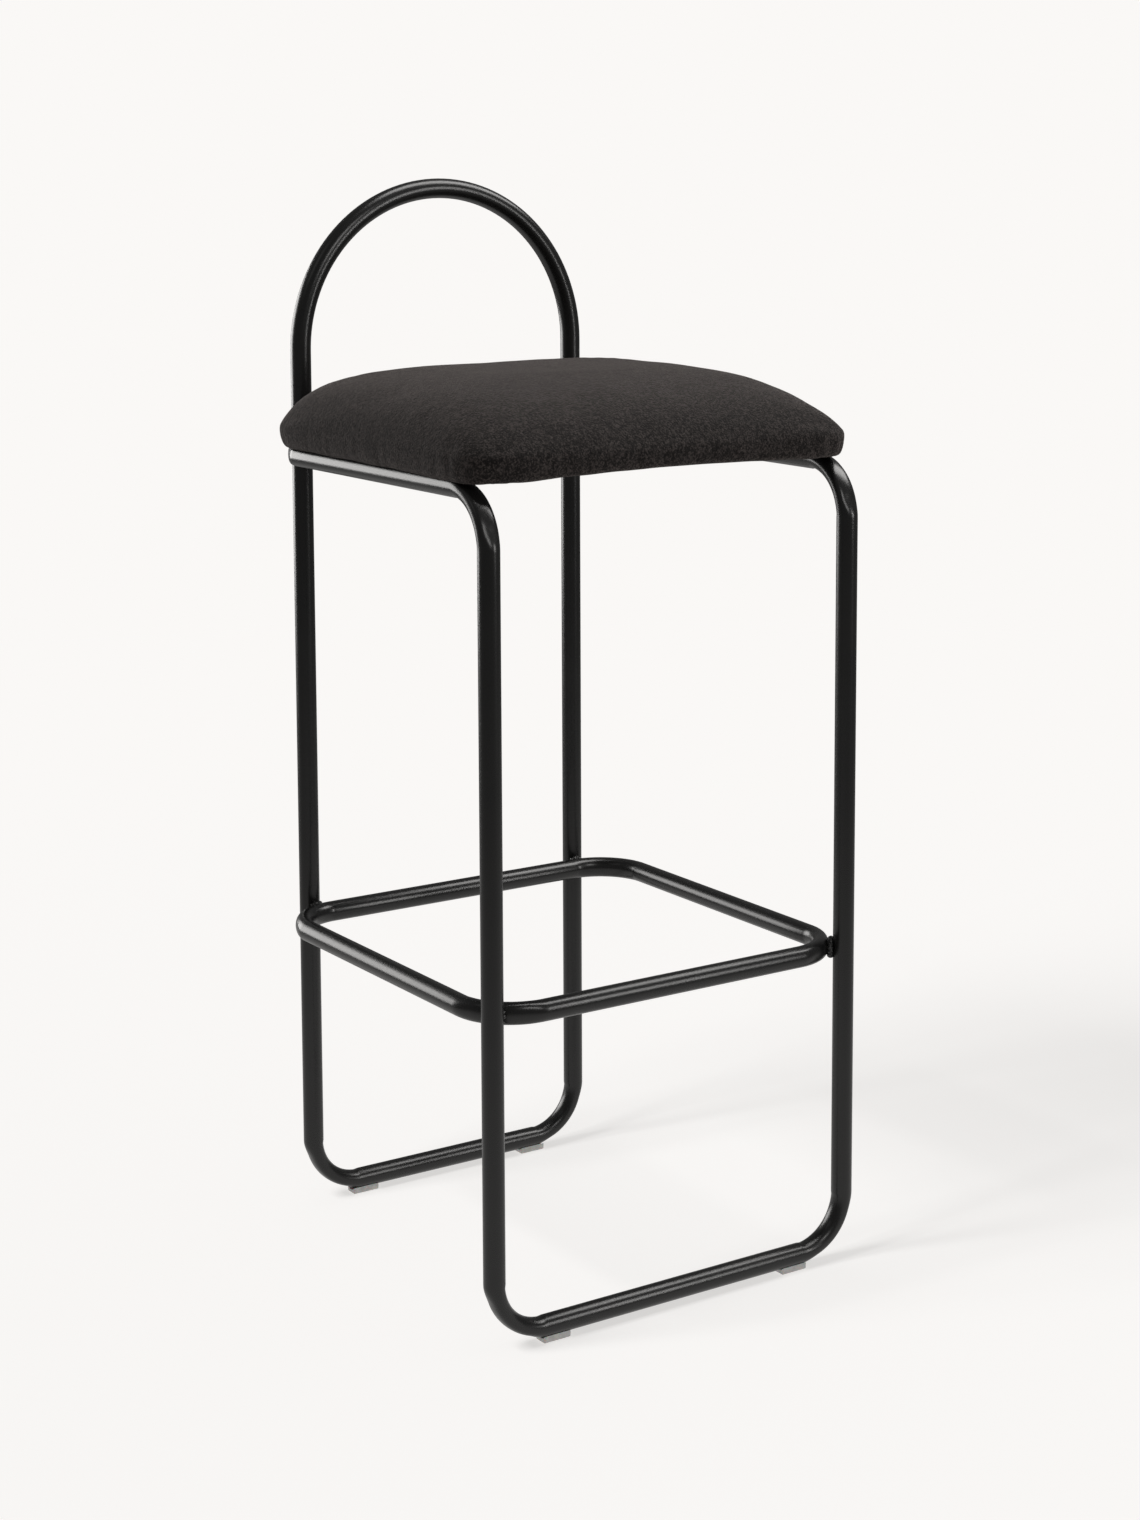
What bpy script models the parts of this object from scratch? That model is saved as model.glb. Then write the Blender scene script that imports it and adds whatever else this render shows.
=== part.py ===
"""Bar stool with a hoop back and a footrest ring.

Three loops of bent round steel tube are welded together.  The front loop runs along the floor, up
both front legs, back under the seat and across in front of the rear legs.  The rear loop stands
on the floor behind it and closes over the seat as a round hoop.  The footrest ring is a rounded
rectangle inside the front legs.  An upholstered pad is screwed down on four tabs, and four
plastic glides are pinned into the floor bars.

Metres, +Z up.  The origin is on the floor, under the middle of the frame, and the stool faces -Y.
"""

import math

import bmesh
import bpy
from mathutils import Vector

# Tube frame
TUBE_DIAMETER = 0.018
TUBE_WALL = 0.0015
TUBE_BEND = 0.046              # centre line radius of the cold bends
FRONT_HALF_WIDTH = 0.176       # to the centre lines of the front legs
REAR_HALF_WIDTH = 0.141        # to the centre lines of the rear legs
HALF_DEPTH = 0.186             # to the planes of the front and of the rear legs
SEAT_RAIL_HEIGHT = 0.693       # centre line
FOOTREST_HEIGHT = 0.275        # centre line
OVERALL_HEIGHT = 0.928
REAR_ROOT_GAP = 0.0010         # between the cross bars and the rear legs, filled by weld
CORNER_ROOT_GAP = 0.0019       # between the footrest corners and the front legs
VENT_DIAMETER = 0.004          # lets the closed footrest breathe in the paint oven

# Glides
GLIDE_STAND_OFF = 0.0035       # floor to the underside of the tube
GLIDE_LENGTH = 0.026
GLIDE_WIDTH = 0.013
GLIDE_HEIGHT = 0.0062
GLIDE_EDGE = 0.0012
GLIDE_PIN_DIAMETER = 0.005
GLIDE_PIN_REACH = 0.004        # past the inside of the tube wall
FRONT_GLIDE_INSET = 0.0095     # inboard of where the floor bar's bend starts
REAR_GLIDE_INSET = 0.0045

# Seat pad
PAD_OVERHANG = 0.0045          # past the outer sides of the seat rails
PAD_FRONT_OVERHANG = 0.001     # past the centre plane of the front legs
PAD_REAR_CLEARANCE = 0.017     # in front of the hoop tube
PAD_CORNER = 0.042
PAD_CROWN = 0.0595             # from the widest line up to the top of the crown
PAD_LOWER_ROUND = 0.009        # height of the rounding below the widest line
PAD_LOWER_INSET = 0.008
COVER_THICKNESS = 0.0012
COVER_TURN_UNDER = 0.030
BOARD_THICKNESS = 0.012
BOARD_EDGE_INSET = 0.007
LINING_THICKNESS = 0.0008
LINING_INSET = 0.016

# Seat fixings, four sets
TAB_LENGTH = 0.034
TAB_WIDTH = 0.026
TAB_THICKNESS = 0.003
TAB_CORNER = 0.006
TAB_HOLE_DIAMETER = 0.0066
TAB_FROM_FRONT_LEG = 0.090
TAB_FROM_REAR_BAR = 0.075
SCREW_FROM_TAB_END = 0.0115
SCREW_DIAMETER = 0.0057
SCREW_LENGTH = 0.016
SCREW_HEAD_DIAMETER = 0.0115
SCREW_HEAD_HEIGHT = 0.0034
SCREW_SOCKET_DIAMETER = 0.004
SCREW_SOCKET_DEPTH = 0.002
WASHER_DIAMETER = 0.014
WASHER_THICKNESS = 0.0013
NUT_WALL = 0.0011
NUT_FLANGE_DIAMETER = 0.019
NUT_FLANGE_THICKNESS = 0.0012
NUT_LENGTH = 0.0095

GAP = 0.0003                   # between faces that touch
WELD_REACH = 0.0085            # size of a weld, from its centre outwards
WELD_CLIMB = 0.0105            # the same, along the leg

# Facets
TUBE_BEVEL_RESOLUTION = 4      # twelve sides
BEND_STEPS = 6
HOOP_STEPS = 18
TURNED_STEPS = 20
PAD_CORNER_STEPS = 6
PAD_SIDE_STEPS = 4
CROWN_STEPS = 7

# Worked out from the above
TUBE_RADIUS = TUBE_DIAMETER / 2
FLOOR_BAR_HEIGHT = GLIDE_STAND_OFF + TUBE_RADIUS
HOOP_CENTRE_HEIGHT = OVERALL_HEIGHT - TUBE_RADIUS - REAR_HALF_WIDTH
FRONT_GLIDE_X = FRONT_HALF_WIDTH - TUBE_BEND - FRONT_GLIDE_INSET
REAR_GLIDE_X = REAR_HALF_WIDTH - TUBE_BEND - REAR_GLIDE_INSET
REAR_BAR_Y = HALF_DEPTH - TUBE_DIAMETER - REAR_ROOT_GAP
FOOTREST_BEND = (TUBE_DIAMETER + CORNER_ROOT_GAP) / (math.sqrt(2) - 1)
RAIL_TOP = SEAT_RAIL_HEIGHT + TUBE_RADIUS
LINING_BOTTOM = RAIL_TOP + GAP
COVER_BOTTOM = LINING_BOTTOM + LINING_THICKNESS + GAP
BOARD_BOTTOM = COVER_BOTTOM + COVER_THICKNESS + GAP
BOARD_TOP = BOARD_BOTTOM + BOARD_THICKNESS
PAD_HALF_WIDTH = FRONT_HALF_WIDTH + TUBE_RADIUS + PAD_OVERHANG
PAD_FRONT = -HALF_DEPTH - PAD_FRONT_OVERHANG
PAD_REAR = HALF_DEPTH - TUBE_RADIUS - PAD_REAR_CLEARANCE
PAD_HALF_DEPTH = (PAD_REAR - PAD_FRONT) / 2
PAD_CENTRE_Y = (PAD_REAR + PAD_FRONT) / 2
PAD_WIDEST = COVER_BOTTOM + PAD_LOWER_ROUND
TAB_TOP = RAIL_TOP
TAB_REST = TUBE_RADIUS - TAB_THICKNESS
TAB_OUTER_X = FRONT_HALF_WIDTH - math.sqrt(TUBE_RADIUS**2 - TAB_REST**2) - GAP
SCREW_X = TAB_OUTER_X - TAB_LENGTH + SCREW_FROM_TAB_END
SCREW_YS = (-HALF_DEPTH + TAB_FROM_FRONT_LEG, REAR_BAR_Y - TAB_FROM_REAR_BAR)


def clear_scene():
    for obj in list(bpy.data.objects):
        bpy.data.objects.remove(obj)


def make_collection(name, hidden=False):
    collection = bpy.data.collections.new(name)
    bpy.context.scene.collection.children.link(collection)
    collection.hide_render = hidden
    return collection


def make_material(name, colour, roughness, metallic=0.0, alpha=1.0):
    material = bpy.data.materials.new(name)
    material.use_nodes = True
    shader = material.node_tree.nodes["Principled BSDF"]
    shader.inputs["Base Color"].default_value = (*colour, 1.0)
    shader.inputs["Roughness"].default_value = roughness
    shader.inputs["Metallic"].default_value = metallic
    shader.inputs["Alpha"].default_value = alpha
    return material


def add_object(name, data, collection, material=None):
    obj = bpy.data.objects.new(name, data)
    collection.objects.link(obj)
    if material:
        data.materials.append(material)
    return obj


def add_cutter(name, mesh, location=(0, 0, 0)):
    cutter = add_object(name, mesh, cutters)
    cutter.location = location
    cutter.hide_render = True
    cutter.display_type = "WIRE"
    return cutter


def as_mesh_object(obj):
    """Replaces an object by the mesh that it evaluates to, with its loose ends welded."""
    graph = bpy.context.evaluated_depsgraph_get()
    mesh = bpy.data.meshes.new_from_object(obj.evaluated_get(graph))
    name = obj.name
    collection = obj.users_collection[0]
    place = obj.matrix_world.copy()
    bpy.data.objects.remove(obj)
    mesh.name = name
    work = bmesh.new()
    work.from_mesh(mesh)
    bmesh.ops.remove_doubles(work, verts=work.verts, dist=0.00001)
    work.to_mesh(mesh)
    work.free()
    new = bpy.data.objects.new(name, mesh)
    collection.objects.link(new)
    new.matrix_world = place
    return new


def boolean(obj, cutter, operation="DIFFERENCE"):
    modifier = obj.modifiers.new(cutter.name, "BOOLEAN")
    modifier.operation = operation
    modifier.solver = "EXACT"
    modifier.object = cutter


def smooth(mesh, angle=40):
    mesh.shade_smooth()
    mesh.set_sharp_from_angle(angle=math.radians(angle))


# Shapes


def arc(centre, start, end, steps):
    """Points from start to end around centre, by the short way."""
    first = start - centre
    last = end - centre
    axis = first.cross(last).normalized()
    total = first.angle(last)
    side = axis.cross(first)
    turns = [total * step / steps for step in range(steps + 1)]
    return [centre + first * math.cos(turn) + side * math.sin(turn) for turn in turns]


def closed_path(corners, bend):
    """A closed path through these corners, each rounded to this radius."""
    corners = [Vector(corner) for corner in corners]
    path = []
    for index, corner in enumerate(corners):
        back = (corners[index - 1] - corner).normalized()
        ahead = (corners[(index + 1) % len(corners)] - corner).normalized()
        half = back.angle(ahead) / 2
        tangent = bend / math.tan(half)
        centre = corner + (back + ahead).normalized() * bend / math.sin(half)
        path += arc(centre, corner + back * tangent, corner + ahead * tangent, BEND_STEPS)
    return path


def tube_surface(name, path, radius, collection):
    curve = bpy.data.curves.new(name, "CURVE")
    curve.dimensions = "3D"
    curve.bevel_depth = radius
    curve.bevel_resolution = TUBE_BEVEL_RESOLUTION
    spline = curve.splines.new("POLY")
    spline.points.add(len(path) - 1)
    spline.use_cyclic_u = True
    for point, place in zip(spline.points, path):
        point.co = (*place, 1.0)
    return add_object(name, curve, collection)


def hollow_tube(name, path, material):
    """A closed loop of tube with its wall, made a mesh so that holes can be cut in it."""
    surface = tube_surface(name, path, TUBE_RADIUS, parts)
    wall = surface.modifiers.new("wall", "SOLIDIFY")
    wall.thickness = TUBE_WALL
    wall.offset = -1
    tube = as_mesh_object(surface)
    tube.data.materials.clear()
    tube.data.materials.append(material)
    smooth(tube.data)
    return tube


def turned_mesh(name, profile, closed=False):
    """A profile of (radius, height) pairs in the XZ plane, which add_turned spins about Z."""
    mesh = bpy.data.meshes.new(name)
    points = [(radius, 0.0, height) for radius, height in profile]
    edges = [(index, index + 1) for index in range(len(points) - 1)]
    if closed:
        edges.append((len(points) - 1, 0))
    mesh.from_pydata(points, edges, [])
    return mesh


def add_turned(name, mesh, location, material):
    obj = add_object(name, mesh, parts)
    obj.location = location
    if not mesh.materials:
        mesh.materials.append(material)
    spin = obj.modifiers.new("turn", "SCREW")
    spin.angle = 2 * math.pi
    spin.steps = TURNED_STEPS
    spin.render_steps = TURNED_STEPS
    spin.use_merge_vertices = True
    spin.merge_threshold = 0.00001
    spin.use_smooth_shade = False
    return obj


def cylinder_mesh(name, diameter, depth, axis="Z"):
    mesh = bpy.data.meshes.new(name)
    work = bmesh.new()
    bmesh.ops.create_cone(
        work, cap_ends=True, segments=TURNED_STEPS,
        radius1=diameter / 2, radius2=diameter / 2, depth=depth,
    )
    if axis == "X":
        for vertex in work.verts:
            vertex.co = (vertex.co.z, vertex.co.x, vertex.co.y)
    work.to_mesh(mesh)
    work.free()
    return mesh


def rounded_rectangle(half_x, half_y, corner, centre_y=0.0, corner_steps=PAD_CORNER_STEPS, side_steps=1):
    """Outline points, anticlockwise, with each straight side split in side_steps."""
    outline = []
    for sign_x, sign_y, start in ((1, 1, 0), (-1, 1, 90), (-1, -1, 180), (1, -1, 270)):
        for step in range(corner_steps + 1):
            turn = math.radians(start + 90 * step / corner_steps)
            x = sign_x * (half_x - corner) + corner * math.cos(turn)
            y = sign_y * (half_y - corner) + corner * math.sin(turn)
            outline.append((x, y + centre_y))
    points = []
    for index, (x, y) in enumerate(outline):
        points.append((x, y))
        if (index + 1) % (corner_steps + 1) == 0:
            next_x, next_y = outline[(index + 1) % len(outline)]
            for step in range(1, side_steps):
                share = step / side_steps
                points.append((x + (next_x - x) * share, y + (next_y - y) * share))
    return points


def circle_points(centre, diameter):
    turns = [2 * math.pi * step / TURNED_STEPS for step in range(TURNED_STEPS)]
    radius = diameter / 2
    return [(centre[0] + radius * math.cos(turn), centre[1] + radius * math.sin(turn)) for turn in turns]


def flat_sheet(name, outlines, thickness, bottom, material):
    """A sheet of this thickness.  The first outline is its edge, the others are holes in it."""
    curve = bpy.data.curves.new(name, "CURVE")
    curve.dimensions = "2D"
    curve.fill_mode = "BOTH"
    curve.extrude = thickness / 2
    for outline in outlines:
        spline = curve.splines.new("POLY")
        spline.points.add(len(outline) - 1)
        spline.use_cyclic_u = True
        for point, (x, y) in zip(spline.points, outline):
            point.co = (x, y, 0.0, 1.0)
    sheet = add_object(name, curve, parts)
    sheet.location = (0, 0, bottom + thickness / 2)
    bpy.context.view_layer.update()
    solid = as_mesh_object(sheet)
    solid.data.materials.append(material)
    return solid


def loft(name, rings, cap_first, cap_last):
    """A mesh through rings that all have the same number of points, listed from below upwards."""
    mesh = bpy.data.meshes.new(name)
    work = bmesh.new()
    rows = [[work.verts.new(point) for point in ring] for ring in rings]
    count = len(rows[0])
    for lower, upper in zip(rows, rows[1:]):
        for index in range(count):
            after = (index + 1) % count
            work.faces.new((lower[index], lower[after], upper[after], upper[index]))
    if cap_first:
        work.faces.new(list(reversed(rows[0])))
    if cap_last:
        work.faces.new(rows[-1])
    work.to_mesh(mesh)
    work.free()
    return mesh


# Frame


def front_loop_path():
    side = FRONT_HALF_WIDTH
    front = -HALF_DEPTH
    corners = []
    for x in (side, -side):
        stations = [
            (x, REAR_BAR_Y, SEAT_RAIL_HEIGHT),
            (x, front, SEAT_RAIL_HEIGHT),
            (x, front, FLOOR_BAR_HEIGHT),
        ]
        corners += stations if x > 0 else reversed(stations)
    return closed_path(corners, TUBE_BEND)


def rear_loop_path():
    side = REAR_HALF_WIDTH
    centre = Vector((0, HALF_DEPTH, HOOP_CENTRE_HEIGHT))
    turns = [math.pi * step / HOOP_STEPS for step in range(HOOP_STEPS + 1)]
    hoop = [centre + Vector((math.cos(turn), 0, math.sin(turn))) * side for turn in turns]
    floor = []
    for sign in (-1, 1):
        corner = Vector((sign * side, HALF_DEPTH, FLOOR_BAR_HEIGHT))
        above = corner + Vector((0, 0, TUBE_BEND))
        inboard = corner + Vector((-sign * TUBE_BEND, 0, 0))
        middle = corner + Vector((-sign, 0, 1)) * TUBE_BEND
        ends = (above, inboard) if sign < 0 else (inboard, above)
        floor += arc(middle, *ends, BEND_STEPS)
    return hoop + floor


def footrest_path():
    side = FRONT_HALF_WIDTH
    plan = ((side, REAR_BAR_Y), (side, -HALF_DEPTH), (-side, -HALF_DEPTH), (-side, REAR_BAR_Y))
    corners = [(x, y, FOOTREST_HEIGHT) for x, y in plan]
    return closed_path(corners, FOOTREST_BEND)


def drill_glide_hole(tube, x, y):
    depth = 4 * TUBE_WALL
    mesh = cylinder_mesh("glide_hole", GLIDE_PIN_DIAMETER + 2 * GAP, depth)
    boolean(tube, add_cutter("glide_hole", mesh, (x, y, GLIDE_STAND_OFF + TUBE_WALL / 2)))


def build_frame():
    steel = make_material("black_powder_coat", (0.012, 0.012, 0.012), 0.38)
    front = hollow_tube("front_frame", front_loop_path(), steel)
    rear = hollow_tube("rear_frame_with_hoop", rear_loop_path(), steel)
    for sign in (-1, 1):
        drill_glide_hole(front, sign * FRONT_GLIDE_X, -HALF_DEPTH)
        drill_glide_hole(rear, sign * REAR_GLIDE_X, HALF_DEPTH)
    ring = hollow_tube("footrest_ring", footrest_path(), steel)
    vent = cylinder_mesh("vent", VENT_DIAMETER, 4 * TUBE_WALL)
    below = FOOTREST_HEIGHT - TUBE_RADIUS + TUBE_WALL / 2
    boolean(ring, add_cutter("vent", vent, (0, REAR_BAR_Y, below)))


# Welds


def nearest_on_rear_bar(x, bend):
    """Where a bar's centre line, bent round at both ends, is nearest to the rear leg at this x."""
    straight = FRONT_HALF_WIDTH - bend
    if abs(x) <= straight:
        return Vector((x, REAR_BAR_Y))
    centre = Vector((math.copysign(straight, x), REAR_BAR_Y - bend))
    leg = Vector((x, HALF_DEPTH))
    return centre + (leg - centre).normalized() * bend


def add_weld(name, leg, bar, height, grown, steel):
    """A bead that fills the hollow between a leg and a bar, where they nearly touch."""
    middle = (Vector(leg) + Vector(bar)) / 2
    mesh = bpy.data.meshes.new(name)
    work = bmesh.new()
    bmesh.ops.create_uvsphere(work, u_segments=14, v_segments=8, radius=1.0)
    bmesh.ops.scale(work, vec=(WELD_REACH, WELD_REACH, WELD_CLIMB), verts=work.verts)
    work.to_mesh(mesh)
    work.free()
    bead = add_object(name, mesh, parts, steel)
    bead.location = (middle.x, middle.y, height)
    for tube in grown:
        boolean(bead, tube)


def build_welds():
    steel = make_material("painted_weld", (0.012, 0.012, 0.012), 0.45)
    grown = {}
    for name, path in (
        ("front", front_loop_path()), ("rear", rear_loop_path()), ("ring", footrest_path()),
    ):
        surface = tube_surface(name + "_weld_prep", path, TUBE_RADIUS + GAP, cutters)
        grown[name] = as_mesh_object(surface)
        grown[name].hide_render = True
        grown[name].display_type = "WIRE"
    corner = FOOTREST_BEND * (1 - 1 / math.sqrt(2))
    for side, sign in (("left", -1), ("right", 1)):
        leg = (sign * FRONT_HALF_WIDTH, -HALF_DEPTH)
        bar = (sign * (FRONT_HALF_WIDTH - corner), -HALF_DEPTH + corner)
        add_weld(f"weld_footrest_front_{side}", leg, bar, FOOTREST_HEIGHT,
                 (grown["front"], grown["ring"]), steel)
        leg = (sign * REAR_HALF_WIDTH, HALF_DEPTH)
        bar = nearest_on_rear_bar(leg[0], FOOTREST_BEND)
        add_weld(f"weld_footrest_rear_{side}", leg, bar, FOOTREST_HEIGHT,
                 (grown["rear"], grown["ring"]), steel)
        bar = nearest_on_rear_bar(leg[0], TUBE_BEND)
        add_weld(f"weld_seat_rear_{side}", leg, bar, SEAT_RAIL_HEIGHT,
                 (grown["rear"], grown["front"]), steel)


# Glides


def build_glides():
    plastic = make_material("frosted_plastic", (0.62, 0.62, 0.60), 0.45, alpha=0.9)
    block = bpy.data.meshes.new("glide")
    work = bmesh.new()
    bmesh.ops.create_cube(work, size=1.0)
    bmesh.ops.scale(work, vec=(GLIDE_LENGTH, GLIDE_WIDTH, GLIDE_HEIGHT), verts=work.verts)
    bmesh.ops.translate(work, vec=(0, 0, GLIDE_HEIGHT / 2), verts=work.verts)
    lower = [edge for edge in work.edges if sum(vertex.co.z for vertex in edge.verts) < GLIDE_HEIGHT * 1.5]
    bmesh.ops.bevel(work, geom=lower, offset=GLIDE_EDGE, segments=2, profile=0.5, affect="EDGES")
    work.to_mesh(block)
    work.free()
    block.materials.append(plastic)
    saddle = cylinder_mesh("glide_saddle", TUBE_DIAMETER + 2 * GAP, 2 * GLIDE_LENGTH, "X")
    pin_top = GLIDE_STAND_OFF + TUBE_WALL + GLIDE_PIN_REACH
    pin_bottom = GLIDE_STAND_OFF / 2
    pin = cylinder_mesh("glide_pin", GLIDE_PIN_DIAMETER, pin_top - pin_bottom)
    for row, y, reach in (("front", -HALF_DEPTH, FRONT_GLIDE_X), ("rear", HALF_DEPTH, REAR_GLIDE_X)):
        for side, sign in (("left", -1), ("right", 1)):
            glide = add_object(f"glide_{row}_{side}", block, parts)
            glide.location = (sign * reach, y, 0)
            boolean(glide, add_cutter("glide_saddle", saddle, (sign * reach, y, FLOOR_BAR_HEIGHT)))
            pin_at = (sign * reach, y, (pin_top + pin_bottom) / 2)
            boolean(glide, add_cutter("glide_pin", pin, pin_at), "UNION")


# Seat pad


def pad_ring(inset, height):
    outline = rounded_rectangle(
        PAD_HALF_WIDTH - inset, PAD_HALF_DEPTH - inset, max(PAD_CORNER - inset, PAD_CORNER / 3),
        PAD_CENTRE_Y, side_steps=PAD_SIDE_STEPS,
    )
    return [(x, y, height) for x, y in outline]


def crown_ring(share, skin):
    """A ring of the crown, skin below its outer face.  share is 1 at the widest line, 0 at the middle."""
    rise = (PAD_CROWN - skin) * math.sqrt(1 - share**3)
    outline = rounded_rectangle(
        (PAD_HALF_WIDTH - skin) * share, (PAD_HALF_DEPTH - skin) * share, (PAD_CORNER - skin) * share,
        PAD_CENTRE_Y, side_steps=PAD_SIDE_STEPS,
    )
    return [(x, y, PAD_WIDEST + rise) for x, y in outline]


def crown_shares():
    """Close together near the edge, where the crown is steep."""
    return [math.sin(math.pi / 2 * (1 - step / (CROWN_STEPS + 1))) for step in range(1, CROWN_STEPS + 1)]


def build_cover():
    fabric = make_material("dark_wool", (0.022, 0.020, 0.019), 0.95)
    under = [
        pad_ring(COVER_TURN_UNDER, COVER_BOTTOM),
        pad_ring(PAD_LOWER_INSET, COVER_BOTTOM),
    ]
    for step in range(1, 4):
        turn = math.pi / 2 * step / 4
        inset = PAD_LOWER_INSET * (1 - math.sin(turn))
        under.append(pad_ring(inset, PAD_WIDEST - PAD_LOWER_ROUND * math.cos(turn)))
    rings = under + [pad_ring(0.0, PAD_WIDEST)] + [crown_ring(share, 0.0) for share in crown_shares()]
    mesh = loft("seat_cover", rings, cap_first=False, cap_last=True)
    cover = add_object("seat_cover", mesh, parts, fabric)
    cloth = cover.modifiers.new("cloth", "SOLIDIFY")
    cloth.thickness = COVER_THICKNESS
    cloth.offset = -1
    smooth(mesh)


def build_foam():
    foam = make_material("foam", (0.75, 0.66, 0.45), 0.95)
    skin = COVER_THICKNESS + 2 * GAP
    crown = [crown_ring(share, skin) for share in [1.0, *crown_shares()]]
    bottom = BOARD_TOP + GAP
    above = [ring for ring in crown if ring[0][2] > bottom + GAP]
    below = crown[len(crown) - len(above) - 1]
    share = (bottom - below[0][2]) / (above[0][0][2] - below[0][2])
    base = [Vector(low).lerp(Vector(high), share) for low, high in zip(below, above[0])]
    rings = [base, *above]
    mesh = loft("foam_pad", rings, cap_first=True, cap_last=True)
    add_object("foam_pad", mesh, parts, foam)
    smooth(mesh)


def build_board():
    wood = make_material("plywood", (0.60, 0.42, 0.25), 0.6)
    edge = rounded_rectangle(
        PAD_HALF_WIDTH - BOARD_EDGE_INSET, PAD_HALF_DEPTH - BOARD_EDGE_INSET,
        PAD_CORNER - BOARD_EDGE_INSET, PAD_CENTRE_Y,
    )
    barrel = SCREW_DIAMETER + 2 * (GAP + NUT_WALL + GAP)
    holes = [circle_points(place, barrel) for place in fixing_places().values()]
    board = flat_sheet("seat_board", [edge, *holes], BOARD_THICKNESS, BOARD_BOTTOM, wood)
    recess = cylinder_mesh("nut_recess", NUT_FLANGE_DIAMETER + 2 * GAP, 2 * (NUT_FLANGE_THICKNESS + GAP))
    for x, y in fixing_places().values():
        boolean(board, add_cutter("nut_recess", recess, (x, y, BOARD_TOP)))


def build_lining():
    cloth = make_material("dust_lining", (0.03, 0.03, 0.03), 0.9)
    edge = rounded_rectangle(
        PAD_HALF_WIDTH - LINING_INSET, PAD_HALF_DEPTH - LINING_INSET,
        PAD_CORNER - LINING_INSET, PAD_CENTRE_Y,
    )
    holes = [circle_points(place, WASHER_DIAMETER) for place in fixing_places().values()]
    flat_sheet("underside_lining", [edge, *holes], LINING_THICKNESS, LINING_BOTTOM, cloth)


# Seat fixings


def fixing_places():
    """The name and the (x, y) place of each of the four sets of fixings."""
    places = {}
    for row, y in zip(("front", "rear"), SCREW_YS):
        for side, sign in (("left", -1), ("right", 1)):
            places[f"{row}_{side}"] = (sign * SCREW_X, y)
    return places


def build_tabs():
    steel = make_material("tab_powder_coat", (0.012, 0.012, 0.012), 0.42)
    for name, (x, y) in fixing_places().items():
        sign = math.copysign(1, x)
        middle = sign * (TAB_OUTER_X - TAB_LENGTH / 2)
        edge = rounded_rectangle(TAB_LENGTH / 2, TAB_WIDTH / 2, TAB_CORNER, corner_steps=4)
        edge = [(middle + px, y + py) for px, py in edge]
        hole = circle_points((x, y), TAB_HOLE_DIAMETER)
        flat_sheet(f"seat_tab_{name}", [edge, hole], TAB_THICKNESS, TAB_TOP - TAB_THICKNESS, steel)


def build_fasteners():
    zinc = make_material("zinc_plate", (0.62, 0.62, 0.60), 0.35, metallic=1.0)
    shank = SCREW_DIAMETER / 2
    head = SCREW_HEAD_DIAMETER / 2
    socket = SCREW_SOCKET_DIAMETER / 2
    # Heights run from the bearing face of the head, and the head hangs below it.
    screw = turned_mesh("seat_screw", (
        (0, SCREW_LENGTH), (shank * 0.8, SCREW_LENGTH), (shank, SCREW_LENGTH - shank * 0.2), (shank, 0),
        (head, 0), (head, -SCREW_HEAD_HEIGHT * 0.4), (head * 0.8, -SCREW_HEAD_HEIGHT * 0.85),
        (socket * 1.3, -SCREW_HEAD_HEIGHT), (socket, -SCREW_HEAD_HEIGHT),
        (socket, SCREW_SOCKET_DEPTH - SCREW_HEAD_HEIGHT), (0, SCREW_SOCKET_DEPTH - SCREW_HEAD_HEIGHT),
    ))
    inner = shank + GAP
    outer = WASHER_DIAMETER / 2
    washer = turned_mesh("washer", (
        (inner, WASHER_THICKNESS), (outer, WASHER_THICKNESS), (outer, 0), (inner, 0),
    ), closed=True)
    barrel = inner + NUT_WALL
    flange = NUT_FLANGE_DIAMETER / 2
    nut = turned_mesh("tee_nut", (
        (inner, 0), (flange, 0), (flange, -NUT_FLANGE_THICKNESS), (barrel, -NUT_FLANGE_THICKNESS),
        (barrel, -NUT_LENGTH), (inner, -NUT_LENGTH),
    ), closed=True)
    washer_bottom = TAB_TOP - TAB_THICKNESS - GAP - WASHER_THICKNESS
    for name, (x, y) in fixing_places().items():
        add_turned(f"washer_{name}", washer, (x, y, washer_bottom), zinc)
        add_turned(f"seat_screw_{name}", screw, (x, y, washer_bottom - GAP), zinc)
        add_turned(f"tee_nut_{name}", nut, (x, y, BOARD_TOP), zinc)


clear_scene()
parts = make_collection("bar_stool")
cutters = make_collection("cutters", hidden=True)
build_frame()
build_welds()
build_glides()
build_tabs()
build_board()
build_foam()
build_cover()
build_lining()
build_fasteners()
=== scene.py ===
# %% [markdown]
# # A bar stool with a hoop back, piece by piece
#
# The stool is three loops of bent steel tube, welded where they touch and powder coated black,
# with an upholstered pad screwed down on top.  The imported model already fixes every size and
# place, so this lesson only has to make each piece look like what it is.
#
# Everything below is in metres, +Z is up, and the stool faces -Y.

# %% Load the fixed frame
import math
import random

import bmesh
import bpy
from mathutils import Matrix, Vector, noise
from mathutils.bvhtree import BVHTree


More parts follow.
